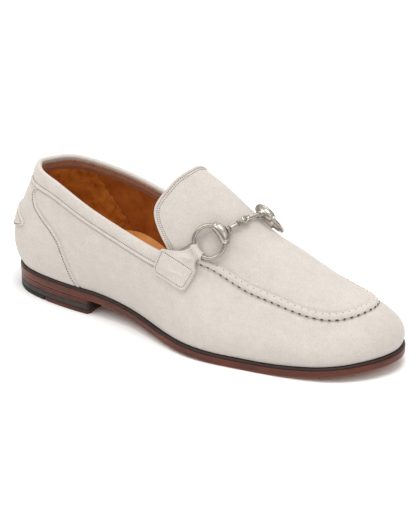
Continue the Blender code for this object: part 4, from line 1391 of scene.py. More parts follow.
@dataclass
class Vamp:
    """The apron with its rolled seam, running back into the tongue."""
    upper: Upper
    half: int = 430
    columns: int = 48
    ridge_rows: int = 20
    swell: float = 1.36
    seam_dip: float = 0.00030
    edge_roll: float = 0.00035
    thread_dip: float = 0.00014

    def __post_init__(self) -> None:
        """Work out the dense edge, its directions and its lengths."""
        lateral, weight = apron_edge(self.upper, -1.0)
        medial, _ = apron_edge(self.upper, 1.0)
        last = len(lateral) - 1
        medial[0] = lateral[0]
        medial[last] = lateral[last]
        loop = np.concatenate([lateral, medial[last - 1:0:-1]])
        chords = np.linalg.norm(np.roll(loop, -1, 0) - loop, axis=1)
        places = np.concatenate([[0.0], np.cumsum(chords)[:-1]])
        line = Loop(places, loop, chords.sum())
        there = np.linspace(0.0, places[last], self.half + 1)
        back = np.linspace(chords.sum(), places[last], self.half + 1)
        weights = np.concatenate([weight, weight[last - 1:0:-1], weight[:1]])
        spots = np.append(places, chords.sum())
        self.loop = np.concatenate([line.at(there), line.at(back)[self.half - 1:0:-1]])
        at = np.concatenate([there, back[self.half - 1:0:-1]])
        self.weight = np.interp(at, spots, weights)
        self.runs = np.minimum(at, chords.sum() - at)
        run = unit(np.roll(self.loop, -1, 0) - np.roll(self.loop, 1, 0))
        self.tangent = run
        self.normal = crown_normal(self.loop[:, 0], self.loop[:, 1])
        self.inward = unit(np.cross(run, self.normal))
        self.off = self.loop[:, 2] - crown(self.loop[:, 0], self.loop[:, 1])

    def ring(self, share: float, depth: float = 0.0) -> Array:
        """The edge moved inwards by a share of the roll's width.

        Args:
            share: share of the roll's width
            depth: how far below the top face

        Returns:
            its points
        """
        ring = self.loop + self.inward * ROLL_WIDTH * share
        ring[:, 2] = crown(ring[:, 0], ring[:, 1]) + self.off * (1.0 - min(share, 1.0) * 0.3)
        heights = float(smooth((0.0, 0.16, 0.5, 0.82, 1.0), (0.15, 0.75, 1.0, 0.6, 0.0), share))
        phase = 2.0 * math.pi * self.runs / STITCHES.apron_pitch
        pull = 1.0 - 0.16 * (0.5 + 0.5 * np.cos(phase)) * hump(share - 0.25, 0.3)
        at = share * ROLL_WIDTH
        edge = self.edge_roll * float(hump(at - 0.0009, 0.0008))
        edge -= self.thread_dip * float(hump(at - 0.0019, 0.0004) + hump(at - 0.0033, 0.0004))
        inner = self.seam_dip * float(hump(at - ROLL_WIDTH, 0.0008))
        rise = (self.swell * ROLL_HEIGHT * heights * pull - inner) * self.weight
        rise += edge * (1.0 - self.weight)
        ring[:, 2] += tongue_droop(ring[:, 0], ring[:, 1])
        return ring + self.normal * (rise - depth)[:, None]

    def field(self, ring: Array, depth: float, columns: int) -> Form:
        """The sheet inside a ring of the edge.

        Args:
            ring: its closed edge
            depth: how far below the top face
            columns: columns across it

        Returns:
            the sheet
        """
        last = self.half
        count = len(ring)
        off = self.off * 0.7
        points = [ring]
        rows: list[list[int]] = [[0]]
        first = count
        share = np.linspace(0.0, 1.0, columns + 1)[1:-1]
        fade = np.clip(1.0 - np.minimum(share, 1.0 - share) * 3.0, 0.0, 1.0) ** 2
        for k in range(1, last):
            a, b = ring[k], ring[count - k]
            y = a[1] + (b[1] - a[1]) * share
            start = ridge_station(a[0], a[1])
            stop = ridge_station(b[0], b[1])
            x = ridge_spot(start + (stop - start) * share, y)
            side_off = np.where(share < 0.5, off[k], off[count - k])
            z = crown(x, y) + side_off * fade + self.fold(x, y) + tongue_droop(x, y)
            points.append(np.column_stack([x, y, z]) - crown_normal(x, y) * depth)
            rows.append([k, *range(first, first + len(y)), count - k])
            first += len(y)
        rows.append([last])
        return Form(np.concatenate(points), strip_faces(rows))

    def fold(self, x: Array, y: Array) -> Array:
        """The soft hollows where the vamp bends.

        Args:
            x: length
            y: side place

        Returns:
            the heights
        """
        lift = np.zeros_like(x)
        off = (y - crown_centre(x)) / BALL_WIDTH
        for along, width, depth, reach in VAMP_FOLDS:
            place = along * SHOE_LENGTH - 0.30 * BALL_WIDTH * off ** 2 * 4.0
            lift = lift + depth * hump(x - place, width) * hump(off, reach)
        return lift

    def form(self) -> Form:
        """The ridge, the sheet inside it and the turned edge.

        Returns:
            the apron
        """
        shares = np.linspace(0.0, 1.25, self.ridge_rows)
        rings = [self.ring(0.30, APRON_THICK), self.ring(0.06, APRON_THICK),
                 self.ring(0.0, APRON_THICK * 0.8), self.ring(0.0, APRON_THICK * 0.3)]
        rings += [self.ring(float(share)) for share in shares]
        ridge = lofted(rings)
        inner = self.field(rings[-1], 0.0, self.columns)
        count = len(self.loop)
        start = (len(rings) - 1) * count
        extra = len(rings) * count
        faces = ridge.faces + [tuple(start + k if k < count else extra + k - count for k in face)
                               for face in inner.faces]
        return Form(np.concatenate([ridge.points, inner.points[count:]]), faces)

    def lining(self) -> Form:
        """The leather under the tongue and the vamp."""
        ring = self.ring(0.55, APRON_THICK - 0.00005)
        return self.field(ring, APRON_THICK + 0.0001, 24)


TONGUE_ROWS = (1.85 / 5.2, 3.3 / 5.2)
VAMP_FOLDS = (
    (0.700, 0.0060, -0.00030, 0.26),
    (0.735, 0.0070, 0.00022, 0.24),
    (0.775, 0.0080, -0.00024, 0.28),
)


@dataclass
class SoleBuilder:
    """The insole, the outsole, the rand and the heel's layers."""
    columns: int = 300
    across: int = 26
    heel_hollow: float = 0.0012
    arch_rise: float = 0.0190
    arch_place: float = 0.0780
    arch_reach: float = 0.0420

    def __post_init__(self) -> None:
        """Place the columns, closer together at the heel and the toe."""
        half = 0.5 - 0.5 * np.cos(np.linspace(0.0, math.pi, self.columns + 1))
        half = 0.35 * half + 0.65 * np.linspace(0.0, 1.0, self.columns + 1)
        self.places = np.concatenate([half, (2.0 - half[1:-1])[::-1]])

    def ring(self, inset: float, height: Callable[[Array], Array]) -> Array:
        """The sole's edge moved inwards, at heights worked out from the length."""
        plan = edge_at(side_tables(inset), self.places)
        return np.column_stack([plan, height(plan[:, 0])])

    def web(self, ring: Array, dish: Callable[[Array, Array], Array]) -> Form:
        """The face inside a closed ring, raised by a function of place and share.

        Args:
            ring: its closed edge
            dish: rise by row and share

        Returns:
            the face
        """
        count = len(ring)
        last = count // 2
        share = np.linspace(0.0, 1.0, self.across + 1)[1:-1]
        points = []
        rows: list[list[int]] = [[0]]
        index = count
        for k in range(1, last):
            a, b = ring[k], ring[count - k]
            row = a + (b - a) * share[:, None]
            row[:, 2] += dish(row, share)
            points.append(row)
            rows.append([k, *range(index, index + len(row)), count - k])
            index += len(row)
        rows.append([last])
        return Form(np.concatenate([ring, *points]), strip_faces(rows))

    def insole(self, wall: UpperWall) -> Form:
        """The cupped leather sock, lying up the wall over the arch.

        Args:
            wall: the upper

        Returns:
            the sock
        """
        chord = wall.chord(self.places)
        plan = edge_at(wall.upper.sides, self.places)
        medial = self.places > 1.0
        arch = self.arch_rise * hump(plan[:, 0] - self.arch_place, self.arch_reach) * medial
        base = INSOLE_THICK + 0.0006
        top = wall.inner(self.places, (base + arch) / chord, WALL)
        low = self.ring(FEATHER_INSET + WALL + GAP, feather_height)

        def dish(row: Array, share: Array) -> Array:
            """How far the sock lies below its edge, as a negative rise.

            Args:
                row: points of one row
                share: how far across each one is

            Returns:
                the rise
            """
            edge = np.minimum(share, 1.0 - share)
            heel = 1.0 - ramp(row[:, 0] - 0.24 * SHOE_LENGTH, 0.10)
            rise = row[-1, 2] - row[0, 2]
            sag = rise * (share - share ** 2.6)
            return -sag - 0.0016 * np.minimum(edge * 5.0, 1.0) ** 0.7 * (0.35 + 0.65 * heel)

        return join_forms([lofted([low, top]), self.web(top, dish)])

    def outsole(self) -> Form:
        """The leather sole with its trimmed edge.

        Returns:
            the sole
        """
        thick = OUTSOLE_THICK
        steps = ((0.0022, 0.0), (OUTSOLE_ROUND * 1.6, 0.00000), (OUTSOLE_ROUND * 0.55, 0.00018),
                 (OUTSOLE_ROUND * 0.10, 0.0006), (0.0, 0.0012), (0.00005, 0.0021), (0.00008, 0.0030),
                 (0.00002, 0.0040), (0.00006, thick - 0.00045), (0.00030, thick - 0.00008),
                 (0.00075, thick))
        rings = [self.ring(inset, lambda x, z=z: underside(x) + z) for inset, z in steps]
        wall = lofted(rings)
        bottom = self.web(rings[0], lambda row, share: np.zeros(len(row)))
        top = self.web(rings[-1], lambda row, share: np.zeros(len(row)))
        form = join_forms([wall, bottom, top])
        edge = np.concatenate([np.repeat([0.0, 0.35, 0.9] + [1.0] * (len(rings) - 3), len(rings[0])),
                               np.zeros(len(bottom.points)), np.ones(len(top.points))])
        form.values["edge"] = edge
        low = np.concatenate([np.repeat([z / thick for _, z in steps], len(rings[0])),
                              np.zeros(len(bottom.points)), np.ones(len(top.points))])
        form.values["rise"] = low
        return form

    def rand(self) -> Form:
        """The dark strip between the sole and the upper.

        Returns:
            the strip
        """
        base = OUTSOLE_THICK + GAP * 0.3
        steps = ((0.0040, 0.0), (RAND_INSET + 0.00045, 0.0), (RAND_INSET + 0.00012, 0.00022),
                 (RAND_INSET, 0.00055), (RAND_INSET + 0.00006, 0.0010),
                 (RAND_INSET + 0.00034, RAND_THICK), (0.0012, RAND_THICK + 0.00022), (0.0060, RAND_THICK))
        rings = [self.ring(inset, lambda x, z=z: underside(x) + base + z) for inset, z in steps]
        return lofted(rings)

    def heel_ring(self, inset: float, start: float, end: float,
                  height: Callable[[Array], Array], corner: float = 0.0016) -> Array:
        """The heel's outline between two lengths, its breast slightly hollow.

        Args:
            inset: how far inside the outline
            start: length at its back
            end: length at its breast
            height: level by length
            corner: radius of the breast's corners

        Returns:
            its points
        """
        halves = []
        for table in side_tables(inset):
            top = int(np.argmax(table[:, 0]))
            run = np.linspace(0.0, 1.0, 90)
            low = np.interp(start, table[:top, 0], np.arange(top)) if start > 0.0 else 0.0
            high = np.interp(end - corner, table[:top, 0], np.arange(top))
            spot = low + (high - low) * (0.5 * run + 0.5 * run ** 2)
            halves.append(read_line(spot, np.arange(len(table)), table))
        lateral, medial = halves
        if start <= 0.0:
            medial = medial[1:]
        a, b = lateral[-1], medial[-1]
        across = np.linspace(0.0, 1.0, 31)[:, None]
        breast = a + (b - a) * across
        side = np.minimum(across[:, 0], 1.0 - across[:, 0]) * float(np.linalg.norm(b - a))
        rounding = np.where(side < corner, corner - np.sqrt(np.maximum(
            corner ** 2 - (corner - side) ** 2, 0.0)), 0.0)
        breast[:, 0] += (corner - rounding
                         - self.heel_hollow * (1.0 - (2.0 * across[:, 0] - 1.0) ** 2))
        plan = np.concatenate([lateral, breast[1:-1], medial[::-1]])
        return np.column_stack([plan, height(plan[:, 0])])

    def layer(self, start: float, end: float, low: Callable[[Array], Array],
              high: Callable[[Array], Array], seams: Sequence[float] = ()) -> Form:
        """One layer of the heel, with fine grooves where its lifts meet.

        Args:
            start: length at its back
            end: length at its breast
            low: level of its underside by length
            high: level of its top by length
            seams: shares of its height with a groove

        Returns:
            the layer
        """
        steps = [(0.00030, 0.0), (0.00004, 0.08), (0.0, 0.16)]
        for seam in seams:
            steps += [(0.0, seam - 0.035), (0.00018, seam), (0.0, seam + 0.035)]
        steps += [(0.0, 0.86), (0.00003, 0.95), (0.00022, 1.0)]
        rings = []
        for inset, share in steps:
            rings.append(self.heel_ring(HEEL_INSET + inset, start, end,
                                        lambda x, w=share: low(x) + (high(x) - low(x)) * w))
        return lofted(rings, ends=True)


def flat_level(z: float) -> Callable[[Array], Array]:
    """A flat height, the same at every length."""
    return lambda x: np.full_like(x, z)


@dataclass
class Strap:
    """A draped strap: its points, its flat pattern and its rows."""
    under: Array
    over: Array
    heights: Array
    halves: Array
    columns: Array

    def place(self, height: Array, across: Array) -> tuple[Array, Array]:
        """Row and column of a spot of the flat pattern.

        Args:
            height: height up the pattern
            across: sideways distance

        Returns:
            row and column places
        """
        row = np.interp(height, self.heights, np.arange(len(self.heights)))
        half = np.interp(height, self.heights, self.halves)
        column = np.interp(across / half, self.columns, np.arange(len(self.columns)))
        return row, column


# Shares of the way from the tab to the ring, and of the drop from the tab's width to the neck's
STRAP_SHAPE = ((0.03, 0.10), (0.12, 0.30), (0.26, 0.55), (0.42, 0.76), (0.60, 0.92), (0.80, 1.0),
               (1.0, 0.96))


@dataclass(frozen=True)
class StrapMaker:
    """Cuts a strap's pattern and lays it on the shoe."""
    rows: int = 92
    columns: int = 45
    corner: float = 0.0034
    bevel: float = 0.0009
    relief: float = 0.00016
    groove_width: float = 0.00045
    tuck: float = 0.0004
    rounds: int = 900

    def widths(self, rise: float) -> tuple[Array, Array]:
        """Heights up the pattern and its half widths there.

        Args:
            rise: height of the last row

        Returns:
            heights and half widths
        """
        half = STRAP_WIDTH / 2.0
        low, top = -STRAP_TAB / 2.0, STRAP_TAB / 2.0
        table = [(low, half * 0.99), (low + 0.2 * STRAP_TAB, half), (top - 0.2 * STRAP_TAB, half),
                 (top - 0.06 * STRAP_TAB, half * 0.985)]
        table += [(top + (rise - top) * share, half + (STRAP_NECK / 2.0 - half) * drop)
                  for share, drop in STRAP_SHAPE]
        share = np.linspace(0.0, 1.0, self.rows)
        eased = share - 0.16 * np.sin(2.0 * math.pi * share) / (2.0 * math.pi)
        start = np.linspace(low, low + self.corner, 12)[:-1]
        heights = np.concatenate([start, low + self.corner + (rise - low - self.corner) * eased])
        halves = smooth([row[0] for row in table], [row[1] for row in table], heights)
        depth = np.clip(heights - low, 0.0, self.corner)
        halves -= self.corner - np.sqrt(self.corner ** 2 - (self.corner - depth) ** 2)
        return heights, halves

    def lay(self, tree: BVHTree, middle: Array, up: Array, out: Array,
            rise: float, lean: float) -> Strap:
        """Lay the pattern on the shoe and round its edges.

        Args:
            tree: the shoe's skin
            middle: the pattern's origin
            up: direction up the pattern
            out: direction off the shoe
            rise: height of the last row
            lean: sideways shift at the ring

        Returns:
            the strap
        """
        heights, halves = self.widths(rise)
        top = STRAP_TAB / 2.0
        shifts = lean * np.clip((heights - top) / (rise - top), 0.0, 1.0)
        columns = np.sin(np.linspace(-1.0, 1.0, self.columns) * math.pi / 2.0) * 0.55
        columns = columns + np.linspace(-1.0, 1.0, self.columns) * 0.45
        rows = list(zip(heights, halves, shifts))
        under, over = drape(tree, middle, up, out, rows, columns, STRAP_THICK, self.rounds)
        flat = np.array([[(half * a + shift, b) for a in columns] for b, half, shift in rows])
        rim = np.concatenate([flat[:, 0], flat[::-1, -1], np.linspace(flat[0, -1], flat[0, 0], 60)])
        off = flat.reshape(-1, 1, 2) - rim[None]
        near = np.sqrt((off ** 2).sum(-1).min(1)).reshape(flat.shape[:2])
        near = np.where((np.arange(len(rows)) == 0)[:, None], 0.0, near)
        round_off = self.bevel - np.sqrt(self.bevel ** 2 - (self.bevel - np.clip(near, 0, self.bevel)) ** 2)
        tab = 1.0 - ramp(flat[..., 1] - top, 0.004)
        groove = self.relief * hump(near - STITCHES.strap_inset, self.groove_width)
        groove += self.relief * tab * hump(flat[..., 1] - (top - STITCHES.strap_bar),
                                           self.groove_width)
        lift = self.relief * hump(near - 0.0010, 0.0005) - groove - 0.85 * round_off
        over = over + lift[..., None] * out
        under = under - self.tuck * out
        return Strap(under, over, heights, halves, columns)


BAR_PROFILE = ((0.0, 0.10, 0.17, 0.30, 0.60, 0.80, 0.86, 1.0),
               (1.55, 1.30, 1.02, 0.80, 0.72, 0.80, 0.92, 0.62))
# Place, rise and width of each turned bead, in shares of the bar
BAR_BEADS = ((0.155, 0.42, 0.026), (0.235, 0.50, 0.022), (0.80, 0.50, 0.026), (0.885, 0.34, 0.022))


@dataclass
class BitMaker:
    """Rings, barrels and bars of the bit, and the straps that hold it."""
    tree: BVHTree
    wire_swell: float = 1.14
    bar_swell: float = 1.05
    eye_swell: float = 1.1
    lip: float = 0.00035
    lip_groove: float = 0.00018
    mouth_round: float = 0.00030
    bore_flare: float = 0.0020
    sleeve_round: float = 0.0005
    bar_root: float = 0.0009

    def __post_init__(self) -> None:
        """Find where the two eyes meet over the vamp."""
        knot, self.upright = skin_spot(self.tree, BIT_MIDDLE)
        self.knot = knot + self.upright * (EYE_RADIUS + EYE_WIRE + 3.0 * GAP)

    def ring(self, centre: Array, normal: Array, inward: Array) -> Form:
        """A round wire ring.

        Args:
            centre: the ring's centre
            normal: normal of its plane
            inward: direction to the bit's middle

        Returns:
            the ring
        """
        angles = np.linspace(0.0, 2.0 * math.pi, 120, endpoint=False)
        centres, runs, spokes = arc_frames(centre, normal, inward, angles, RING_RADIUS)
        return tubed(centres, runs, spokes, np.full(len(angles), WIRE_RADIUS * self.wire_swell), 24, True)

    def keeper(self, centre: Array, normal: Array, inward: Array) -> Form:
        """The egg-shaped barrel with lips at its mouths and its bore.

        Args:
            centre: the ring's centre
            normal: normal of its plane
            inward: direction to the bit's middle

        Returns:
            the barrel
        """
        share = np.linspace(-1.0, 1.0, 49)
        belly = KEEPER_MOUTH + (KEEPER_RADIUS - KEEPER_MOUTH) * (1.0 - np.abs(share) ** 2.2)
        belly += self.lip * hump(np.abs(share) - 0.93, 0.045)
        belly -= self.lip_groove * hump(np.abs(share) - 0.80, 0.05)
        belly -= self.mouth_round * np.clip((np.abs(share) - 0.965) / 0.035, 0.0, 1.0)
        bore = np.full(15, WIRE_RADIUS + GAP)
        bore += self.bore_flare * np.clip(np.abs(np.linspace(-1, 1, 15)) - 0.80, 0.0, 1.0)
        outer = arc_frames(centre, normal, inward, share * KEEPER_SWEEP / 2.0, RING_RADIUS)
        back = np.linspace(1.0, -1.0, 15)
        inner = arc_frames(centre, normal, inward, back * KEEPER_SWEEP / 2.0, RING_RADIUS)
        centres, runs, spokes = (np.concatenate(pair) for pair in zip(outer, inner))
        return tubed(centres, runs, spokes, np.concatenate([belly, bore]), 40, True)

    def bar(self, start: Array, end: Array, upright: Array) -> Form:
        """A turned bar with collars and beads, and its eye.

        Args:
            start: where it leaves the barrel
            end: the eye's centre
            upright: a direction in the plane of its eye

        Returns:
            the bar
        """
        run = unit(end - start)
        side = unit(np.cross(run, upright))
        normal = np.cross(side, run)
        stop = end - run * EYE_RADIUS * 0.8
        start = start - run * self.bar_root
        share = np.linspace(0.0, 1.0, 110)
        radius = smooth(*BAR_PROFILE, share)
        for place, rise, width in BAR_BEADS:
            radius += rise * hump(share - place, width)
        centres = start + (stop - start) * share[:, None]
        count = len(share)
        bar = tubed(centres, np.tile(run, (count, 1)), np.tile(normal, (count, 1)),
                    radius * BAR_THICK * self.bar_swell, 28, False, ends=True)
        angles = np.linspace(0.0, 2.0 * math.pi, 56, endpoint=False)
        centres, runs, spokes = arc_frames(end, side, run, angles, EYE_RADIUS)
        eye = tubed(centres, runs, spokes, np.full(len(angles), EYE_WIRE * self.eye_swell), 18, True)
        return join_forms([bar, eye])

    def strap(self, end: BitEnd, centre: Array, normal: Array) -> tuple[Strap, Form]:
        """One strap on the wall and its fold round the ring.

        Args:
            end: spots of the strap and the ring
            centre: the ring's centre
            normal: normal of its plane

        Returns:
            the strap and its fold
        """
        tab, tab_normal = skin_spot(self.tree, end.tab)
        start = unit(flat_on(tab - centre, normal))
        fold = centre + start * RING_RADIUS
        out = unit(tab_normal + normal)
        neck = flat_on(fold - tab, out)
        ahead = unit(flat_on(np.array([1.0, 0.0, 0.0]), unit(neck)))
        ahead = unit(flat_on(ahead, out))
        cant = math.radians(end.cant)
        up = unit(unit(neck) * math.cos(cant) - ahead * math.sin(cant))
        rise = float(np.dot(neck, up))
        lean = float(np.dot(neck, np.cross(up, out)))
        strap = StrapMaker().lay(self.tree, fold - neck, up, out, rise, lean)
        angles = np.linspace(-0.5, 0.5, 30) * SLEEVE_SWEEP
        centres, runs, spokes = arc_frames(centre, normal, start, angles, RING_RADIUS)
        side = np.abs(np.linspace(-1.0, 1.0, 30))
        bulk = WIRE_RADIUS + GAP + SLEEVE_WALL
        radii = bulk - self.sleeve_round * np.clip((side - 0.86) / 0.14, 0.0, 1.0) ** 2
        outer = tubed(centres, runs, spokes, radii, 36, False)
        inner = tubed(centres[::-1], runs[::-1], spokes[::-1], np.full(30, WIRE_RADIUS + GAP), 36, False)
        return strap, join_forms([outer, inner])


@dataclass(frozen=True)
class LeafMaker:
    """The leaf sewn round the back of the heel."""
    wall: UpperWall
    rows: int = 33
    columns: int = 150
    bevel: float = 0.0007
    relief: float = 0.00018
    tuck: float = 0.0004
    base: float = COUNTER_STEP + GAP * 0.5

    def shape(self, across: Array) -> Array:
        """The leaf's height at a sideways share, as a share of its middle's."""
        return 0.12 + 0.88 * (1.0 - np.abs(across) ** 2.2)

    def skin(self, across: Array, up: Array) -> tuple[Array, Array]:
        """Place round the loop and share up the wall of a spot of the leaf."""
        s = (across * HEEL_TAB_HALF / self.wall.half_run) % 2.0
        return s, (HEEL_TAB_RISE + up * HEEL_TAB_HEIGHT * self.shape(across)) / self.wall.upper.chord(s)

    def spot(self, across: Array, up: Array, height: Array) -> Array:
        """A point over the counter by shares of the leaf's width and height.

        Args:
            across: share of its half width
            up: share of the leaf's height
            height: how far off the wall

        Returns:
            the point
        """
        s, t = self.skin(across, up)
        upper = self.wall.upper
        return upper.surface(s, t) + upper.normal(s, t) * np.asarray(height)[..., None]

    def form(self) -> Form:
        """The leaf with its turned edge.

        Returns:
            the leaf
        """
        across = np.sin(np.linspace(-1.0, 1.0, self.columns) * math.pi / 2.0)
        up = 0.5 * np.sin(np.linspace(-1.0, 1.0, self.rows) * math.pi / 2.0)
        a, b = np.meshgrid(across, up)
        near = np.minimum((0.5 - np.abs(b)) * HEEL_TAB_HEIGHT * self.shape(a),
                          (1.0 - np.abs(a)) * HEEL_TAB_HALF)
        bevel = self.bevel
        round_off = bevel - np.sqrt(bevel ** 2 - (bevel - np.clip(near, 0.0, bevel)) ** 2)
        lift = (self.base + HEEL_TAB_THICK - 0.8 * round_off + self.relief * hump(near - 0.0008, 0.0005)
                - self.relief * hump(near - STITCHES.leaf_inset, 0.0004))
        over = self.spot(a, b, lift)
        under = self.spot(a, b, self.base - self.tuck)
        return shell(under, over)


@dataclass(frozen=True)
class Finish:
    """A plain finish: colour, roughness and the sizes of its surface detail."""
    name: str
    colour: tuple[float, float, float]
    dark: tuple[float, float, float]
    roughness: float
    grain: float
    depth: float


SUEDE = Finish("suede", (0.594, 0.548, 0.510), (0.478, 0.430, 0.389), 0.95, 2300.0, 0.00022)
BAND_SUEDE = Finish("band_suede", (0.420, 0.205, 0.120), (0.270, 0.110, 0.060), 0.95, 2300.0, 0.00020)
SOCK = Finish("sock_leather", (0.700, 0.290, 0.055), (0.520, 0.180, 0.028), 0.50, 900.0, 0.00006)
LINING = Finish("lining_leather", (0.640, 0.230, 0.034), (0.236, 0.047, 0.003), 0.48, 900.0, 0.00007)
SOLE = Finish("sole_leather", (0.125, 0.029, 0.013), (0.042, 0.010, 0.006), 0.36, 700.0, 0.00005)
RAND = Finish("edge_leather", (0.022, 0.008, 0.006), (0.012, 0.005, 0.004), 0.50, 800.0, 0.00005)
STACK = Finish("stacked_leather", (0.130, 0.026, 0.012), (0.028, 0.007, 0.004), 0.36, 700.0, 0.00006)
LIFT = Finish("dark_leather", (0.034, 0.024, 0.019), (0.018, 0.012, 0.010), 0.50, 700.0, 0.00006)
RUBBER = Finish("rubber", (0.026, 0.024, 0.022), (0.018, 0.017, 0.016), 0.68, 1500.0, 0.00008)
NICKEL = Finish("nickel", (0.42, 0.385, 0.345), (0.30, 0.270, 0.235), 0.24, 1400.0, 0.000004)
PALE_THREAD = Finish("pale_thread", (0.26, 0.12, 0.05), (0.16, 0.07, 0.03), 0.80, 4000.0, 0.00006)
DARK_THREAD = Finish("dark_thread", (0.110, 0.062, 0.032), (0.060, 0.034, 0.018), 0.70, 4000.0, 0.00006)
TAN_THREAD = Finish("tan_thread", (0.115, 0.083, 0.056), (0.070, 0.048, 0.032), 0.75, 4000.0, 0.00006)
THREAD_SHINE = 0.2


@dataclass(frozen=True)
class Graph:
    """Adds nodes to a tree and joins them by socket."""
    tree: bpy.types.NodeTree

    def node(self, kind: str, inputs: dict | None = None, **settings: object) -> bpy.types.Node:
        """A new node with its settings, its plain values and its links.

        Args:
            kind: type of the node
            inputs: values or sockets by input
            settings: properties of the node

        Returns:
            the node
        """
        made = self.tree.nodes.new(kind)
        for key, value in settings.items():
            setattr(made, key, value)
        for key, value in (inputs or {}).items():
            if isinstance(value, Socket):
                self.tree.links.new(value, made.inputs[key])
            else:
                made.inputs[key].default_value = value
        return made

    def place(self, turn: Sequence[float] = (0.0, 0.0, 0.0), scale: Sequence[float] = (1.0, 1.0, 1.0),
              where: Socket | None = None) -> Socket:
        """Object coordinates, or a given place turned and stretched.

        Args:
            turn: turn about each axis
            scale: stretch on each axis
            where: the place, or None for object coordinates

        Returns:
            the place
        """
        if where is None:
            return self.node("ShaderNodeTexCoord").outputs["Object"]
        inputs = {"Vector": where, "Rotation": turn, "Scale": scale}
        return self.node("ShaderNodeMapping", inputs).outputs[0]

    def maths(self, operation: str, *values: object) -> Socket:
        """One operation on plain values or sockets."""
        return self.node("ShaderNodeMath", dict(enumerate(values)), operation=operation).outputs[0]

    def weighed(self, *terms: tuple[Socket, float]) -> Socket:
        """The sum of several values, each times its weight.

        Args:
            terms: values and weights

        Returns:
            the sum
        """
        total = self.maths("MULTIPLY", *terms[0])
        for term in terms[1:]:
            total = self.maths("ADD", total, self.maths("MULTIPLY", *term))
        return total

    def blend(self, factor: object, first: object, second: object) -> Socket:
        """Mix two colours."""
        return self.node("ShaderNodeMix", {0: factor, 6: first, 7: second}, data_type="RGBA").outputs[2]

    def noise(self, where: Socket, scale: object, detail: float = 3.0, roughness: float = 0.55,
              distortion: float = 0.0) -> Socket:
        """A noise value at a place."""
        return self.node("ShaderNodeTexNoise", {"Vector": where, "Scale": scale, "Detail": detail,
                                                "Roughness": roughness, "Distortion": distortion}).outputs[0]

    def span(self, value: object, low: float, high: float, to_low: float = 0.0,
             to_high: float = 1.0) -> Socket:
        """Stretch a value from one range to another."""
        inputs = {0: value, 1: low, 2: high, 3: to_low, 4: to_high}
        return self.node("ShaderNodeMapRange", inputs, interpolation_type="SMOOTHSTEP").outputs[0]


FLOAT = "NodeSocketFloat"
VECTOR = "NodeSocketVector"
GEOMETRY = "NodeSocketGeometry"


def new_group(name: str, inputs: dict[str, str], outputs: dict[str, str],
              kind: str = "ShaderNodeTree") -> tuple[Graph, bpy.types.Node, bpy.types.Node]:
    """An empty node group with its sockets, given by name and kind.

    Args:
        name: its name
        inputs: input sockets by name
        outputs: output sockets by name
        kind: type of the tree

    Returns:
        its graph and its two end nodes
    """
    tree = bpy.data.node_groups.new(name, kind)
    for way, sockets in (("INPUT", inputs), ("OUTPUT", outputs)):
        for label, socket in sockets.items():
            tree.interface.new_socket(name=label, in_out=way, socket_type=socket)
    graph = Graph(tree)
    return graph, graph.node("NodeGroupInput"), graph.node("NodeGroupOutput")


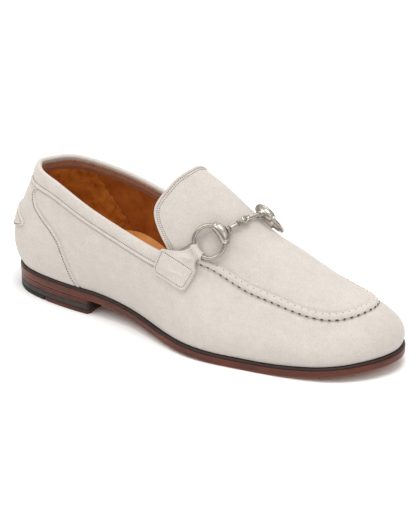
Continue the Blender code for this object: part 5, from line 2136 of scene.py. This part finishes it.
class Effects:
    """The node groups that the finishes share."""

    def __init__(self) -> None:
        """Make the four groups."""
        self.nap = self.nap_group()
        self.pores = self.pores_group()
        self.streaks = self.streaks_group()
        self.polish = self.polish_group()

    def close(self, graph: Graph, depth: Socket, strength: float, height: Socket,
              results: dict[str, Socket]) -> bpy.types.NodeTree:
        """Add the bump and join a group's results to its outputs.

        Args:
            graph: the graph of the group
            depth: depth of the bump
            strength: strength of the bump
            height: height for the bump
            results: sockets by output

        Returns:
            the finished group
        """
        bump = graph.node("ShaderNodeBump", {"Strength": strength, "Distance": depth, "Height": height})
        end = graph.tree.nodes["Group Output"]
        for label, value in {**results, "Normal": bump.outputs[0]}.items():
            graph.tree.links.new(value, end.inputs[label])
        return graph.tree

    def nap_group(self) -> bpy.types.NodeTree:
        """Brushed nap: its shade and its normal.

        Returns:
            the group
        """
        graph, start, _ = new_group("brushed_nap", {"Place": VECTOR, "Grain": FLOAT, "Depth": FLOAT},
                                    {"Shade": FLOAT, "Normal": VECTOR})
        place = start.outputs["Place"]
        fibre = graph.noise(place, start.outputs["Grain"], 4.0, 0.65)
        tuft = graph.noise(place, 900.0, 4.0, 0.60, 0.4)
        cloud = graph.noise(place, 150.0, 3.0, 0.60, 0.8)
        patch = graph.noise(place, 42.0, 2.0, 0.50, 1.2)
        brushed = graph.place((0.0, 0.5, 0.5), (0.35, 1.0, 1.0), place)
        swipe = graph.noise(brushed, 260.0, 2.0, 0.5, 0.6)
        shade = graph.weighed((fibre, 0.36), (tuft, 0.32), (cloud, 0.13), (patch, 0.09), (swipe, 0.10))
        height = graph.weighed((fibre, 0.55), (tuft, 0.8), (cloud, 0.9))
        return self.close(graph, start.outputs["Depth"], 0.75, height,
                          {"Shade": graph.span(shade, 0.34, 0.64)})

    def pores_group(self) -> bpy.types.NodeTree:
        """Smooth leather: its shade, its shine and its normal.

        Returns:
            the group
        """
        graph, start, _ = new_group("leather_pores", {"Place": VECTOR, "Grain": FLOAT, "Depth": FLOAT},
                                    {"Shade": FLOAT, "Shine": FLOAT, "Normal": VECTOR})
        place = start.outputs["Place"]
        cells = graph.node("ShaderNodeTexVoronoi", {"Vector": place, "Scale": start.outputs["Grain"]},
                           feature="SMOOTH_F1").outputs[0]
        fine = graph.noise(place, 1900.0, 3.0, 0.6)
        cloud = graph.noise(place, 60.0, 4.0, 0.6, 0.6)
        wear = graph.noise(place, 190.0, 3.0, 0.55, 0.4)
        shade = graph.weighed((cloud, 0.55), (wear, 0.30), (fine, 0.15))
        height = graph.weighed((cells, 0.8), (fine, 0.5))
        return self.close(graph, start.outputs["Depth"], 0.6, height,
                          {"Shade": graph.span(shade, 0.32, 0.68),
                           "Shine": graph.span(wear, 0.3, 0.7, -0.07, 0.09)})

    def streaks_group(self) -> bpy.types.NodeTree:
        """The trimmed edge of layered leather: level streaks.

        Returns:
            the group
        """
        graph, start, _ = new_group("edge_streaks", {"Place": VECTOR, "Depth": FLOAT},
                                    {"Shade": FLOAT, "Shine": FLOAT, "Normal": VECTOR})
        place = start.outputs["Place"]
        streak = graph.noise(graph.place(scale=(0.045, 0.045, 1.0), where=place), 1500.0, 4.0, 0.62, 0.3)
        fleck = graph.noise(graph.place(scale=(0.16, 0.16, 1.0), where=place), 2600.0, 2.0, 0.6)
        cloud = graph.noise(place, 70.0, 3.0, 0.55)
        shade = graph.weighed((streak, 0.50), (fleck, 0.20), (cloud, 0.30))
        return self.close(graph, start.outputs["Depth"], 0.5, streak,
                          {"Shade": graph.span(shade, 0.34, 0.66),
                           "Shine": graph.span(fleck, 0.3, 0.7, -0.08, 0.10)})

    def polish_group(self) -> bpy.types.NodeTree:
        """Polished plate: faint clouding and fine scratches.

        Returns:
            the group
        """
        graph, start, _ = new_group("polished_plate", {"Place": VECTOR, "Depth": FLOAT},
                                    {"Shade": FLOAT, "Shine": FLOAT, "Normal": VECTOR})
        place = start.outputs["Place"]
        scratch = graph.noise(graph.place((0.4, 0.7, 1.1), (0.05, 1.0, 1.0), place), 5200.0, 2.0, 0.5)
        cloud = graph.noise(place, 420.0, 3.0, 0.6)
        return self.close(graph, start.outputs["Depth"], 0.10, graph.maths("ADD", scratch, cloud),
                          {"Shade": graph.span(cloud, 0.3, 0.7),
                           "Shine": graph.span(scratch, 0.35, 0.65, -0.05, 0.09)})


def rgba(colour: Sequence[float]) -> tuple[float, float, float, float]:
    """A colour with full opacity."""
    return (colour[0], colour[1], colour[2], 1.0)


class Coat:
    """One material while it is built: its graph, its shader and its effect."""

    def __init__(self, finish: Finish, group: bpy.types.NodeTree) -> None:
        """Start the material with its effect joined up.

        Args:
            finish: its colours and its grain
            group: the effect that it uses
        """
        self.finish = finish
        self.material = bpy.data.materials.new(finish.name)
        self.material.use_nodes = True
        self.graph = Graph(self.material.node_tree)
        self.shader = self.material.node_tree.nodes["Principled BSDF"]
        self.place = self.graph.place()
        self.effect = self.graph.node("ShaderNodeGroup", node_tree=group)
        self.graph.tree.links.new(self.place, self.effect.inputs["Place"])
        self.effect.inputs["Depth"].default_value = finish.depth
        if "Grain" in self.effect.inputs:
            self.effect.inputs["Grain"].default_value = finish.grain

    def colour(self, finish: Finish, shade: Socket | None = None) -> Socket:
        """A finish's two colours, mixed by the effect's shade."""
        mask = shade or self.effect.outputs["Shade"]
        return self.graph.blend(mask, rgba(finish.dark), rgba(finish.colour))

    def value(self, name: str) -> Socket:
        """A value kept at the points of the piece."""
        return self.graph.node("ShaderNodeAttribute", attribute_name=name).outputs["Fac"]

    def ragged(self, scale: float, detail: float, reach: float) -> Socket:
        """A small uneven offset for the line between two colours."""
        noise = self.graph.noise(self.place, scale, detail, 0.6)
        return self.graph.span(noise, 0.3, 0.7, -reach, reach)

    def done(self, colour: Socket, **settings: object) -> Material:
        """Join the colour, the roughness and the normal, and set the rest.

        Args:
            colour: the base colour
            settings: other inputs of the shader

        Returns:
            the material
        """
        shader = self.shader
        self.graph.tree.links.new(colour, shader.inputs["Base Color"])
        self.graph.tree.links.new(self.effect.outputs["Normal"], shader.inputs["Normal"])
        shader.inputs["Roughness"].default_value = self.finish.roughness
        if "Shine" in self.effect.outputs:
            rough = self.graph.maths("ADD", self.effect.outputs["Shine"], self.finish.roughness)
            self.graph.tree.links.new(rough, shader.inputs["Roughness"])
        for label, value in settings.items():
            shader.inputs[label.replace("_", " ")].default_value = value
        return self.material


LINING_SEAM_COLOUR = (0.030, 0.010, 0.005)
# Painted highlight: the lighter red mixed into the lowest part of the sole's edge
SOLE_EDGE_HIGHLIGHT_COLOUR = (0.250, 0.060, 0.024)
SOLE_FACE_COLOURS = ((0.220, 0.095, 0.045), (0.360, 0.175, 0.085))
SHEEN_TINT = (1.0, 0.97, 0.93)


class Paintbox:
    """Makes the materials from the finishes."""

    def __init__(self) -> None:
        """Make the shared effects."""
        self.effects = Effects()

    def suede(self, finish: Finish, inside: Finish | None = None) -> Material:
        """Napped leather, with another colour inside the collar if given.

        Args:
            finish: its colours and its grain
            inside: the colours inside the collar

        Returns:
            the material
        """
        coat = Coat(finish, self.effects.nap)
        graph = coat.graph
        colour = coat.colour(finish)
        if inside is not None:
            mask = graph.maths("ADD", coat.value("inside"), coat.ragged(1500.0, 3.0, 0.18))
            colour = graph.blend(graph.span(mask, 0.62, 0.86), colour, coat.colour(inside))
        return coat.done(colour, Specular_IOR_Level=0.12, Sheen_Weight=0.28, Sheen_Roughness=0.45,
                         Sheen_Tint=rgba(SHEEN_TINT))

    def leather(self, finish: Finish, specular: float = 0.4) -> Material:
        """Smooth leather, rubber or thread."""
        coat = Coat(finish, self.effects.pores)
        return coat.done(coat.colour(finish), Specular_IOR_Level=specular)

    def lining(self, finish: Finish) -> Material:
        """Lining leather with painted shade: darker in the quarters, deep inside the shoe, than in the
        heel's own piece.

        Args:
            finish: its colours and its grain

        Returns:
            the material
        """
        coat = Coat(finish, self.effects.pores)
        graph = coat.graph
        patch = graph.maths("ADD", coat.value("patch"), coat.ragged(260.0, 4.0, 0.0016))
        quarter = graph.span(patch, -0.0002, 0.0004)
        seam = graph.maths("MULTIPLY", graph.span(patch, -0.0010, 0.0), graph.span(patch, 0.0010, 0.0))
        colour = coat.colour(finish)
        # Painted shade: the quarters' lining, deep inside the shoe, is mixed towards the dark colour
        shaded_quarter_colour = graph.blend(0.62, colour, rgba(finish.dark))
        colour = graph.blend(quarter, colour, shaded_quarter_colour)
        return coat.done(graph.blend(graph.maths("MULTIPLY", seam, 0.5), colour, rgba(LINING_SEAM_COLOUR)))

    def edge(self, finish: Finish, bottom: bool = False) -> Material:
        """The trimmed edge of layered leather, and the sole's tanned face.

        Args:
            finish: its colours and its grain
            bottom: whether it is the sole, with a tanned face and a painted highlight low on its edge

        Returns:
            the material
        """
        coat = Coat(finish, self.effects.streaks)
        graph = coat.graph
        colour = coat.colour(finish)
        if bottom:
            # Painted highlight: the lowest part of the sole's edge is mixed towards a lighter red
            low = graph.span(coat.value("rise"), 0.30, 0.0)
            colour = graph.blend(graph.maths("MULTIPLY", low, 0.7), colour, rgba(SOLE_EDGE_HIGHLIGHT_COLOUR))
            cloud = graph.span(graph.noise(coat.place, 90.0, 4.0, 0.6, 0.5), 0.3, 0.7)
            face = graph.blend(cloud, rgba(SOLE_FACE_COLOURS[0]), rgba(SOLE_FACE_COLOURS[1]))
            colour = graph.blend(graph.span(coat.value("edge"), 0.25, 0.75), face, colour)
        return coat.done(colour, Specular_IOR_Level=0.32)

    def metal(self, finish: Finish) -> Material:
        """Polished plate.

        Args:
            finish: its colours and its grain

        Returns:
            the material
        """
        coat = Coat(finish, self.effects.polish)
        shade = coat.graph.span(coat.effect.outputs["Shade"], 0.0, 1.0, 0.72, 1.0)
        return coat.done(coat.colour(finish, shade), Metallic=1.0)


@dataclass
class Row:
    """Places of one row of stitches with their directions."""
    points: Array
    runs: Array
    normals: Array


def spaced(points: Array, normals: Array, pitch: float) -> Row:
    """A row of even stitches along a dense line.

    Args:
        points: points of the line
        normals: the normals there
        pitch: distance between stitches

    Returns:
        the row
    """
    run = run_of(points)
    count = max(2, int(round(run[-1] / pitch)))
    at = (np.arange(count) + 0.5) * run[-1] / count
    facing = unit(read_line(at, run, normals))
    reach = pitch * 0.2
    runs = unit(read_line(at + reach, run, points) - read_line(at - reach, run, points))
    runs = unit(runs - facing * (runs * facing).sum(1, keepdims=True))
    return Row(read_line(at, run, points), runs, facing)


def thread_size(length: float, wide: float = 1.0, high: float = 0.7) -> tuple[float, float, float]:
    """A stitch's length, width and height, the last two as shares of the thread."""
    return length, STITCHES.thread * wide, STITCHES.thread * high


class Stitcher:
    """Sews rows of thread through one geometry tree."""

    def __init__(self) -> None:
        """Build the tree that turns points into stitches."""
        inputs = {"Geometry": GEOMETRY, "Length": FLOAT, "Width": FLOAT, "Height": FLOAT,
                  "Seed": "NodeSocketInt", "Material": "NodeSocketMaterial"}
        graph, start, end = new_group("thread_rows", inputs, {"Geometry": GEOMETRY}, "GeometryNodeTree")
        ball = graph.node("GeometryNodeMeshUVSphere", {"Segments": 8, "Rings": 6, "Radius": 0.5})
        runs = graph.node("GeometryNodeInputNamedAttribute", {"Name": "run"}, data_type="FLOAT_VECTOR")
        facing = graph.node("GeometryNodeInputNamedAttribute", {"Name": "facing"}, data_type="FLOAT_VECTOR")
        first = graph.node("FunctionNodeAlignRotationToVector", {"Vector": runs.outputs[0]}, axis="X")
        second = graph.node("FunctionNodeAlignRotationToVector",
                            {"Rotation": first.outputs[0], "Vector": facing.outputs[0]},
                            axis="Z", pivot_axis="X")
        size = graph.node("ShaderNodeCombineXYZ", {0: start.outputs["Length"], 1: start.outputs["Width"],
                                                   2: start.outputs["Height"]})
        vary = graph.node("FunctionNodeRandomValue", {0: (0.88, 0.90, 0.85), 1: (1.08, 1.10, 1.12),
                                                      "Seed": start.outputs["Seed"]},
                          data_type="FLOAT_VECTOR")
        scale = graph.node("ShaderNodeVectorMath", {0: size.outputs[0], 1: vary.outputs[0]},
                           operation="MULTIPLY")
        spread = graph.node("GeometryNodeInstanceOnPoints",
                            {"Points": start.outputs["Geometry"], "Instance": ball.outputs[0],
                             "Rotation": second.outputs[0], "Scale": scale.outputs[0]})
        real = graph.node("GeometryNodeRealizeInstances", {"Geometry": spread.outputs[0]})
        soft = graph.node("GeometryNodeSetShadeSmooth", {"Geometry": real.outputs[0]})
        paint = graph.node("GeometryNodeSetMaterial", {"Geometry": soft.outputs[0],
                                                       "Material": start.outputs["Material"]})
        graph.tree.links.new(paint.outputs[0], end.inputs["Geometry"])
        self.tree = graph.tree
        self.sockets = {item.name: item.identifier for item in self.tree.interface.items_tree
                        if item.in_out == "INPUT"}

    def sew(self, name: str, rows: Sequence[Row], size: tuple[float, float, float], seed: int,
            material: Material, shift: Array) -> bpy.types.Object:
        """One piece of thread from several rows.

        Args:
            name: its name
            rows: its rows of stitches
            size: length, width and height of a stitch
            seed: seed of the uneven sizes
            material: what it is made of
            shift: the move into the frame

        Returns:
            the piece of thread
        """
        points = np.concatenate([row.points for row in rows]) + shift
        mesh = bpy.data.meshes.new(name)
        mesh.from_pydata(points.tolist(), [], [])
        for label, values in (("run", np.concatenate([row.runs for row in rows])),
                              ("facing", np.concatenate([row.normals for row in rows]))):
            kept = mesh.attributes.new(label, "FLOAT_VECTOR", "POINT")
            kept.data.foreach_set("vector", values.astype(np.float32).ravel())
        piece = bpy.data.objects.new(name, mesh)
        bpy.context.scene.collection.objects.link(piece)
        step = piece.modifiers.new("rows", "NODES")
        step.node_group = self.tree
        for label, value in (("Length", size[0]), ("Width", size[1]), ("Height", size[2]),
                             ("Seed", seed), ("Material", material)):
            step[self.sockets[label]] = value
        graph = bpy.context.evaluated_depsgraph_get()
        made = bpy.data.meshes.new_from_object(piece.evaluated_get(graph))
        piece.modifiers.clear()
        piece.data = made
        if not made.materials:
            made.materials.append(material)
        return piece


class Loafer:
    """The whole shoe: every piece, its finish and its place in the frame."""

    def __init__(self) -> None:
        """Make the paints, the thread and the wall."""
        self.shift = self.frame_shift()
        self.paints = Paintbox()
        self.stitcher = Stitcher()
        self.upper = Upper()
        self.wall = UpperWall(self.upper)
        self.vamp = Vamp(self.upper)
        self.soles = SoleBuilder()
        self.suede = self.paints.suede(SUEDE)
        self.tan = self.paints.leather(TAN_THREAD, THREAD_SHINE)
        self.count = 0

    def frame_shift(self) -> Array:
        """The move from the heel-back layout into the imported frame.

        Returns:
            the move
        """
        low, high = (np.array(corner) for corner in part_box("outsole"))
        edge = np.concatenate(side_tables(0.0))
        own_low, own_high = edge.min(0), edge.max(0)
        middle = (low[:2] + high[:2]) / 2.0 - (own_low + own_high) / 2.0
        return np.array([middle[0], middle[1], low[2] - float(underside(np.linspace(
            0.0, SHOE_LENGTH, 600)).min())])

    def add(self, name: str, form: Form, material: Material, slot: str,
            nodes: Sequence[str] = (), sharp: float = 50.0) -> bpy.types.Object:
        """Make one piece, move it into the frame and hide the nodes that it stands for.

        Args:
            name: its name
            form: its points and faces
            material: what it is made of
            slot: the look slot, not used
            nodes: the nodes that it stands for
            sharp: largest angle that is shaded smooth, in degrees

        Returns:
            the piece
        """
        mesh = bpy.data.meshes.new(name)
        mesh.from_pydata((form.points + self.shift).tolist(), [], form.faces)
        for label, values in form.values.items():
            kept = mesh.attributes.new(label, "FLOAT", "POINT")
            kept.data.foreach_set("value", np.asarray(values, np.float32))
        work = bmesh.new()
        work.from_mesh(mesh)
        bmesh.ops.remove_doubles(work, verts=work.verts, dist=1e-7)
        bmesh.ops.recalc_face_normals(work, faces=work.faces)
        work.to_mesh(mesh)
        work.free()
        mesh.shade_smooth()
        mesh.set_sharp_from_angle(angle=math.radians(sharp))
        mesh.materials.append(material)
        piece = bpy.data.objects.new(name, mesh)
        bpy.context.scene.collection.objects.link(piece)
        self.settle(piece, nodes)
        return piece

    def settle(self, piece: bpy.types.Object, nodes: Sequence[str] = ()) -> None:
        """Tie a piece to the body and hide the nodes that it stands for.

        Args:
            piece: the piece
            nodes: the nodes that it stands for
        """
        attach(piece, "root")
        if nodes:
            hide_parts(*nodes)
        triangles = sum(len(face.vertices) - 2 for face in piece.data.polygons)
        self.count += triangles
        LOG.info("%s: %d triangles", piece.name, triangles)

    def sew(self, name: str, rows: Sequence[Row], size: tuple[float, float, float], seed: int,
            material: Material) -> None:
        """Add rows of thread as one piece."""
        piece = self.stitcher.sew(name, rows, size, seed, material, self.shift)
        self.settle(piece)

    def build(self) -> None:
        """Build every piece of the shoe."""
        self.build_soles()
        tree = self.build_upper()
        self.build_leaf()
        self.build_bit(tree)
        LOG.info("whole shoe: %d triangles", self.count)

    def build_soles(self) -> None:
        """The insole, the outsole, the rand and the heel."""
        soles = self.soles
        paints = self.paints
        self.add("sock", soles.insole(self.wall), paints.leather(SOCK), "sock_leather", ["insole"])
        self.add("sole", soles.outsole(), paints.edge(SOLE, bottom=True), "sole_leather", ["outsole"])
        self.add("rand_strip", soles.rand(), paints.leather(RAND), "edge_leather", ["rand"])
        lift_foot = TOP_PIECE_THICK + GAP
        stack_foot = lift_foot + LIFT_THICK + GAP
        split = RUBBER_LENGTH
        stack = paints.edge(STACK)
        self.add("heel_rubber", soles.layer(0.0, split, flat_level(0.0), flat_level(TOP_PIECE_THICK)),
                 paints.leather(RUBBER, 0.3), "rubber", ["top_piece_rubber"])
        self.add("heel_leather", soles.layer(split + GAP, HEEL_LENGTH, flat_level(0.0),
                                             flat_level(TOP_PIECE_THICK)),
                 stack, "stacked_leather", ["top_piece_leather"])
        self.add("heel_dark_lift", soles.layer(0.0, HEEL_LENGTH, flat_level(lift_foot),
                                               flat_level(stack_foot - GAP * 0.4)),
                 paints.leather(LIFT), "dark_leather", ["heel_lift"])
        self.add("heel_block", soles.layer(0.0, HEEL_LENGTH, flat_level(stack_foot),
                                           lambda x: underside(x) - GAP * 0.4, (0.42,)),
                 stack, "stacked_leather", ["heel_stack"])

    def build_upper(self) -> BVHTree:
        """The wall, its lining, the apron, the tongue and their thread.

        Returns:
            its skin, to lay straps on
        """
        paints = self.paints
        wall_form = self.wall.form()
        self.add("upper_suede", wall_form, paints.suede(SUEDE, BAND_SUEDE), "suede", ["upper"], 60.0)
        self.add("wall_lining", self.wall.lining(), paints.lining(LINING), "sock_leather")
        apron_form = self.vamp.form()
        self.add("apron_suede", apron_form, self.suede, "suede", ["apron"], 60.0)
        self.add("apron_lining", self.vamp.lining(), paints.leather(LINING), "sock_leather")
        self.sew_wall()
        self.sew_apron()
        both = join_forms([wall_form, apron_form])
        return BVHTree.FromPolygons(both.points.tolist(), both.faces)

    def sew_wall(self) -> None:
        """The thread of the counter, the cuff and the band inside it."""
        wall = self.wall
        rows = []
        for side, line in zip(Side, wall.counter_lines):
            heights = np.linspace(0.0, 1.0, len(line))
            feet = wall.counter_foot(heights)
            s = feet if side is Side.LATERAL else 2.0 - feet
            normal = self.upper.normal(s, heights * self.upper.cuff_share(s))
            back = unit(np.cross(normal, unit(np.gradient(line, axis=0))))
            back = np.where(back[:, :1] > 0.0, -back, back)
            spots = line + back * STITCHES.counter_inset + normal * (COUNTER_STEP - 0.00008)
            keep = (heights > 0.02) & (heights < 0.965)
            rows.append(spaced(spots[keep], normal[keep], STITCHES.counter_pitch))
        s = np.linspace(-0.50, 0.50, 900) % 2.0
        chord = wall.chord(s)
        t = self.upper.cuff_share(s) + STITCHES.cuff_inset / chord
        rows.append(spaced(wall.outer(s, t), self.upper.normal(s, t), STITCHES.cuff_pitch))
        self.sew("wall_thread", rows, thread_size(STITCHES.cuff_pitch * 0.56, 1.0, 0.8), 11, self.tan)
        low = 1.0 - (WALL_SIZES.band - 0.0012) / chord
        inner = wall.inner(s, low, WALL + WALL_SIZES.band_lift)
        row = spaced(inner, -self.upper.normal(s, low), STITCHES.band_pitch)
        self.sew("band_thread", [row], thread_size(STITCHES.band_pitch * 0.65), 12,
                 self.paints.leather(PALE_THREAD, THREAD_SHINE))

    def sew_apron(self) -> None:
        """The seam's stitches and the two rows round the tongue."""
        vamp = self.vamp
        half = vamp.half
        outer = vamp.ring(0.02)
        inner = vamp.ring(0.80)
        dark = []
        small = []
        edges = []
        for order in (np.arange(0, half + 1), np.arange(len(vamp.loop), half - 1, -1) % len(vamp.loop)):
            runs = vamp.runs[order]
            sewn = vamp.weight[order] > 0.35
            end = runs[sewn].max()
            spots = np.arange(0.0, end, STITCHES.apron_pitch)
            for ring, rows in ((outer, dark), (inner, small)):
                rows.append(Row(read_line(spots, runs, ring[order]),
                                unit(read_line(spots, runs, vamp.tangent[order])),
                                unit(read_line(spots, runs, vamp.normal[order]))))
            for share in TONGUE_ROWS:
                line = vamp.ring(share)[order]
                free = (vamp.weight[order] < 0.02) & (runs > end + 0.012)
                edges.append(spaced(line[free], vamp.normal[order][free], STITCHES.tongue_pitch))
        brown = self.paints.leather(DARK_THREAD, THREAD_SHINE)
        self.sew("seam_thread", dark, (0.0021, 0.00125, 0.0010), 21, brown)
        self.sew("seam_points", small, (0.0010, 0.00055, 0.0005), 22, self.tan)
        self.sew("tongue_thread", edges, thread_size(STITCHES.tongue_pitch * 0.56, 0.85), 23, self.tan)

    def build_leaf(self) -> None:
        """The leaf on the heel's back and its thread."""
        leaf = LeafMaker(self.wall)
        self.add("heel_leaf", leaf.form(), self.suede, "suede", ["heel_tab"], 60.0)
        rows = []
        across = np.linspace(-0.93, 0.93, 300)
        reach = STITCHES.leaf_inset / (HEEL_TAB_HEIGHT * leaf.shape(across))
        height = leaf.base + HEEL_TAB_THICK
        for side in (-1.0, 1.0):
            up = side * np.maximum(0.5 - reach, 0.02)
            line = leaf.spot(across, up, height - 0.00010)
            rows.append(spaced(line, self.upper.normal(*leaf.skin(across, up)), STITCHES.leaf_pitch))
        self.sew("leaf_thread", rows, thread_size(STITCHES.leaf_pitch * 0.6), 31, self.tan)

    def strap_path(self, high: float) -> tuple[Array, Array]:
        """The flat line of the tab's stitches: heights and sideways places.

        Args:
            high: height of its two ends

        Returns:
            heights and sideways places
        """
        inset = STITCHES.strap_inset
        half = STRAP_WIDTH / 2.0 - inset
        low = -STRAP_TAB / 2.0 + inset
        corner = StrapMaker.corner - inset * 0.5
        turn = np.linspace(0.0, math.pi / 2.0, 16)
        arc = np.column_stack([low + corner - corner * np.sin(turn), -half + corner - corner * np.cos(turn)])
        left = np.concatenate([[(high, -half), (low + corner, -half)], arc])
        line = np.concatenate([left, left[::-1] * (1.0, -1.0)])
        run = run_of(line)
        return tuple(read_line(np.linspace(0.0, run[-1], 400), run, line).T)

    def build_bit(self, tree: BVHTree) -> None:
        """The rings, barrels, bars and straps with their thread.

        Args:
            tree: the shoe's skin
        """
        bit = BitMaker(tree)
        metal = self.paints.metal(NICKEL)
        rows = []
        for end in BIT_ENDS:
            centre, normal, inward = seat_ring(tree, end, bit.knot)
            word = end.word
            self.add("bit_ring_" + word, bit.ring(centre, normal, inward), metal, "nickel",
                     ["ring_" + word])
            self.add("bit_barrel_" + word, bit.keeper(centre, normal, inward), metal, "nickel",
                     ["keeper_" + word], 35.0)
            socket = centre + inward * RING_RADIUS
            run = unit(bit.knot - socket)
            start = socket + run * (KEEPER_RADIUS + 2.0 * GAP)
            turned = bit.upright if end.side < 0 else np.cross(run, bit.upright)
            self.add("bit_bar_" + word, bit.bar(start, bit.knot - run * EYE_RADIUS / 2.0, turned),
                     metal, "nickel", ["bar_" + word], 40.0)
            strap, fold = bit.strap(end, centre, normal)
            form = join_forms([shell(strap.under, strap.over), fold])
            self.add("bit_strap_" + word, form, self.suede, "suede", ["strap_" + word], 60.0)
            normals = grid_normals(strap.over)
            if float(np.dot(normals[20, 20], normal)) < 0.0:
                normals = -normals
            high = STRAP_TAB / 2.0 - STITCHES.strap_bar
            bar = np.linspace(-1.0, 1.0, 120) * (STRAP_WIDTH / 2.0 - STITCHES.strap_inset - 0.0008)
            for heights, across in (self.strap_path(high), (np.full(120, high), bar)):
                row, column = strap.place(heights, across)
                rows.append(spaced(read_grid(strap.over, row, column), read_grid(normals, row, column),
                                   STITCHES.strap_pitch))
        self.sew("strap_thread", rows, thread_size(STITCHES.strap_pitch * 0.58, 0.85), 41, self.tan)


@dataclass(frozen=True)
class CameraPlace:
    """The photo's camera, placed about a point of the shoe."""
    turn: float = 0.56614
    rise: float = 0.42353
    distance: float = 1.3184
    target: tuple[float, float, float] = (0.145, 0.0, 0.040)
    lens: float = 137.8
    sensor: float = 36.0
    shift_x: float = 0.01096
    shift_y: float = 0.01058


@dataclass(frozen=True)
class Lamp:
    """One soft lamp: its place, the point it faces, its size and its power."""
    name: str
    place: tuple[float, float, float]
    size: float
    power: float
    colour: tuple[float, float, float]


LAMPS = (
    Lamp("key", (-0.75, -0.95, 1.25), 0.95, 7.0, (1.0, 0.985, 0.965)),
    Lamp("fill", (1.05, -0.75, 0.75), 0.90, 2.6, (0.97, 0.985, 1.0)),
    Lamp("back", (-0.30, 1.10, 1.05), 0.80, 3.2, (1.0, 1.0, 1.0)),
    Lamp("top", (0.25, -0.10, 1.45), 0.70, 9.0, (1.0, 0.99, 0.975)),
)
WORLD_LIGHT = 0.95
FLOOR_COLOUR = (0.955, 0.955, 0.95)
FLOOR_LEVEL = -0.0001


@dataclass(frozen=True)
class Studio:
    """The floor, the lamps and the camera."""
    shift: Array
    floor_half: float = 6.0
    aim: tuple[float, float, float] = (0.0, 0.0, 0.04)

    def build(self) -> None:
        """Set up the whole studio."""
        scene = bpy.context.scene
        scene.view_settings.view_transform = "Standard"
        world = bpy.data.worlds.new("studio")
        scene.world = world
        world.use_nodes = True
        sky = world.node_tree.nodes["Background"]
        graph = Graph(world.node_tree)
        way = graph.node("ShaderNodeSeparateXYZ", {0: graph.node("ShaderNodeTexCoord").outputs["Generated"]})
        height = graph.span(way.outputs[2], 0.02, 0.60)
        sky_colour = graph.blend(height, (0.30, 0.29, 0.28, 1.0), (1.0, 1.0, 1.0, 1.0))
        graph.tree.links.new(sky_colour, sky.inputs["Color"])
        sky.inputs["Strength"].default_value = WORLD_LIGHT
        self.floor()
        for lamp in LAMPS:
            self.lamp(lamp)
        self.camera(CameraPlace())

    def floor(self) -> None:
        """A wide pale floor under the shoe."""
        half = self.floor_half
        mesh = bpy.data.meshes.new("floor")
        corners = [(-half, -half, FLOOR_LEVEL), (half, -half, FLOOR_LEVEL), (half, half, FLOOR_LEVEL),
                   (-half, half, FLOOR_LEVEL)]
        mesh.from_pydata(corners, [], [(0, 1, 2, 3)])
        material = bpy.data.materials.new("floor")
        material.use_nodes = True
        shader = material.node_tree.nodes["Principled BSDF"]
        shader.inputs["Base Color"].default_value = rgba(FLOOR_COLOUR)
        shader.inputs["Roughness"].default_value = 0.8
        shader.inputs["Specular IOR Level"].default_value = 0.1
        mesh.materials.append(material)
        floor = bpy.data.objects.new("floor", mesh)
        bpy.context.scene.collection.objects.link(floor)

    def lamp(self, lamp: Lamp) -> None:
        """One soft square lamp facing the shoe.

        Args:
            lamp: its place, size and power
        """
        light = bpy.data.lights.new(lamp.name, "AREA")
        light.shape = "SQUARE"
        light.size = lamp.size
        light.energy = lamp.power
        light.color = lamp.colour
        shown = bpy.data.objects.new(lamp.name, light)
        bpy.context.scene.collection.objects.link(shown)
        shown.location = lamp.place
        away = Vector(lamp.place) - Vector(self.aim)
        shown.rotation_euler = away.to_track_quat("Z", "Y").to_euler()

    def camera(self, place: CameraPlace) -> None:
        """The photo's camera.

        Args:
            place: place, aim and lens
        """
        data = bpy.data.cameras.new("camera")
        data.lens = place.lens
        data.sensor_fit = "VERTICAL"
        data.sensor_height = place.sensor
        data.shift_x = place.shift_x
        data.shift_y = place.shift_y
        data.clip_start = 0.05
        data.clip_end = 30.0
        data.dof.use_dof = False
        camera = bpy.data.objects.new("camera", data)
        bpy.context.scene.collection.objects.link(camera)
        back = Vector((math.sin(place.turn) * math.cos(place.rise),
                       -math.cos(place.turn) * math.cos(place.rise), math.sin(place.rise)))
        target = Vector(np.array(place.target) + self.shift)
        camera.location = target + back * place.distance
        camera.rotation_mode = "QUATERNION"
        camera.rotation_quaternion = back.to_track_quat("Z", "Y")
        bpy.context.scene.camera = camera


def main() -> None:
    """Build the shoe and the studio."""
    logging.basicConfig(level=logging.INFO, format="%(message)s")
    loafer = Loafer()
    loafer.build()
    Studio(loafer.shift).build()


if __name__ == "__main__":
    main()
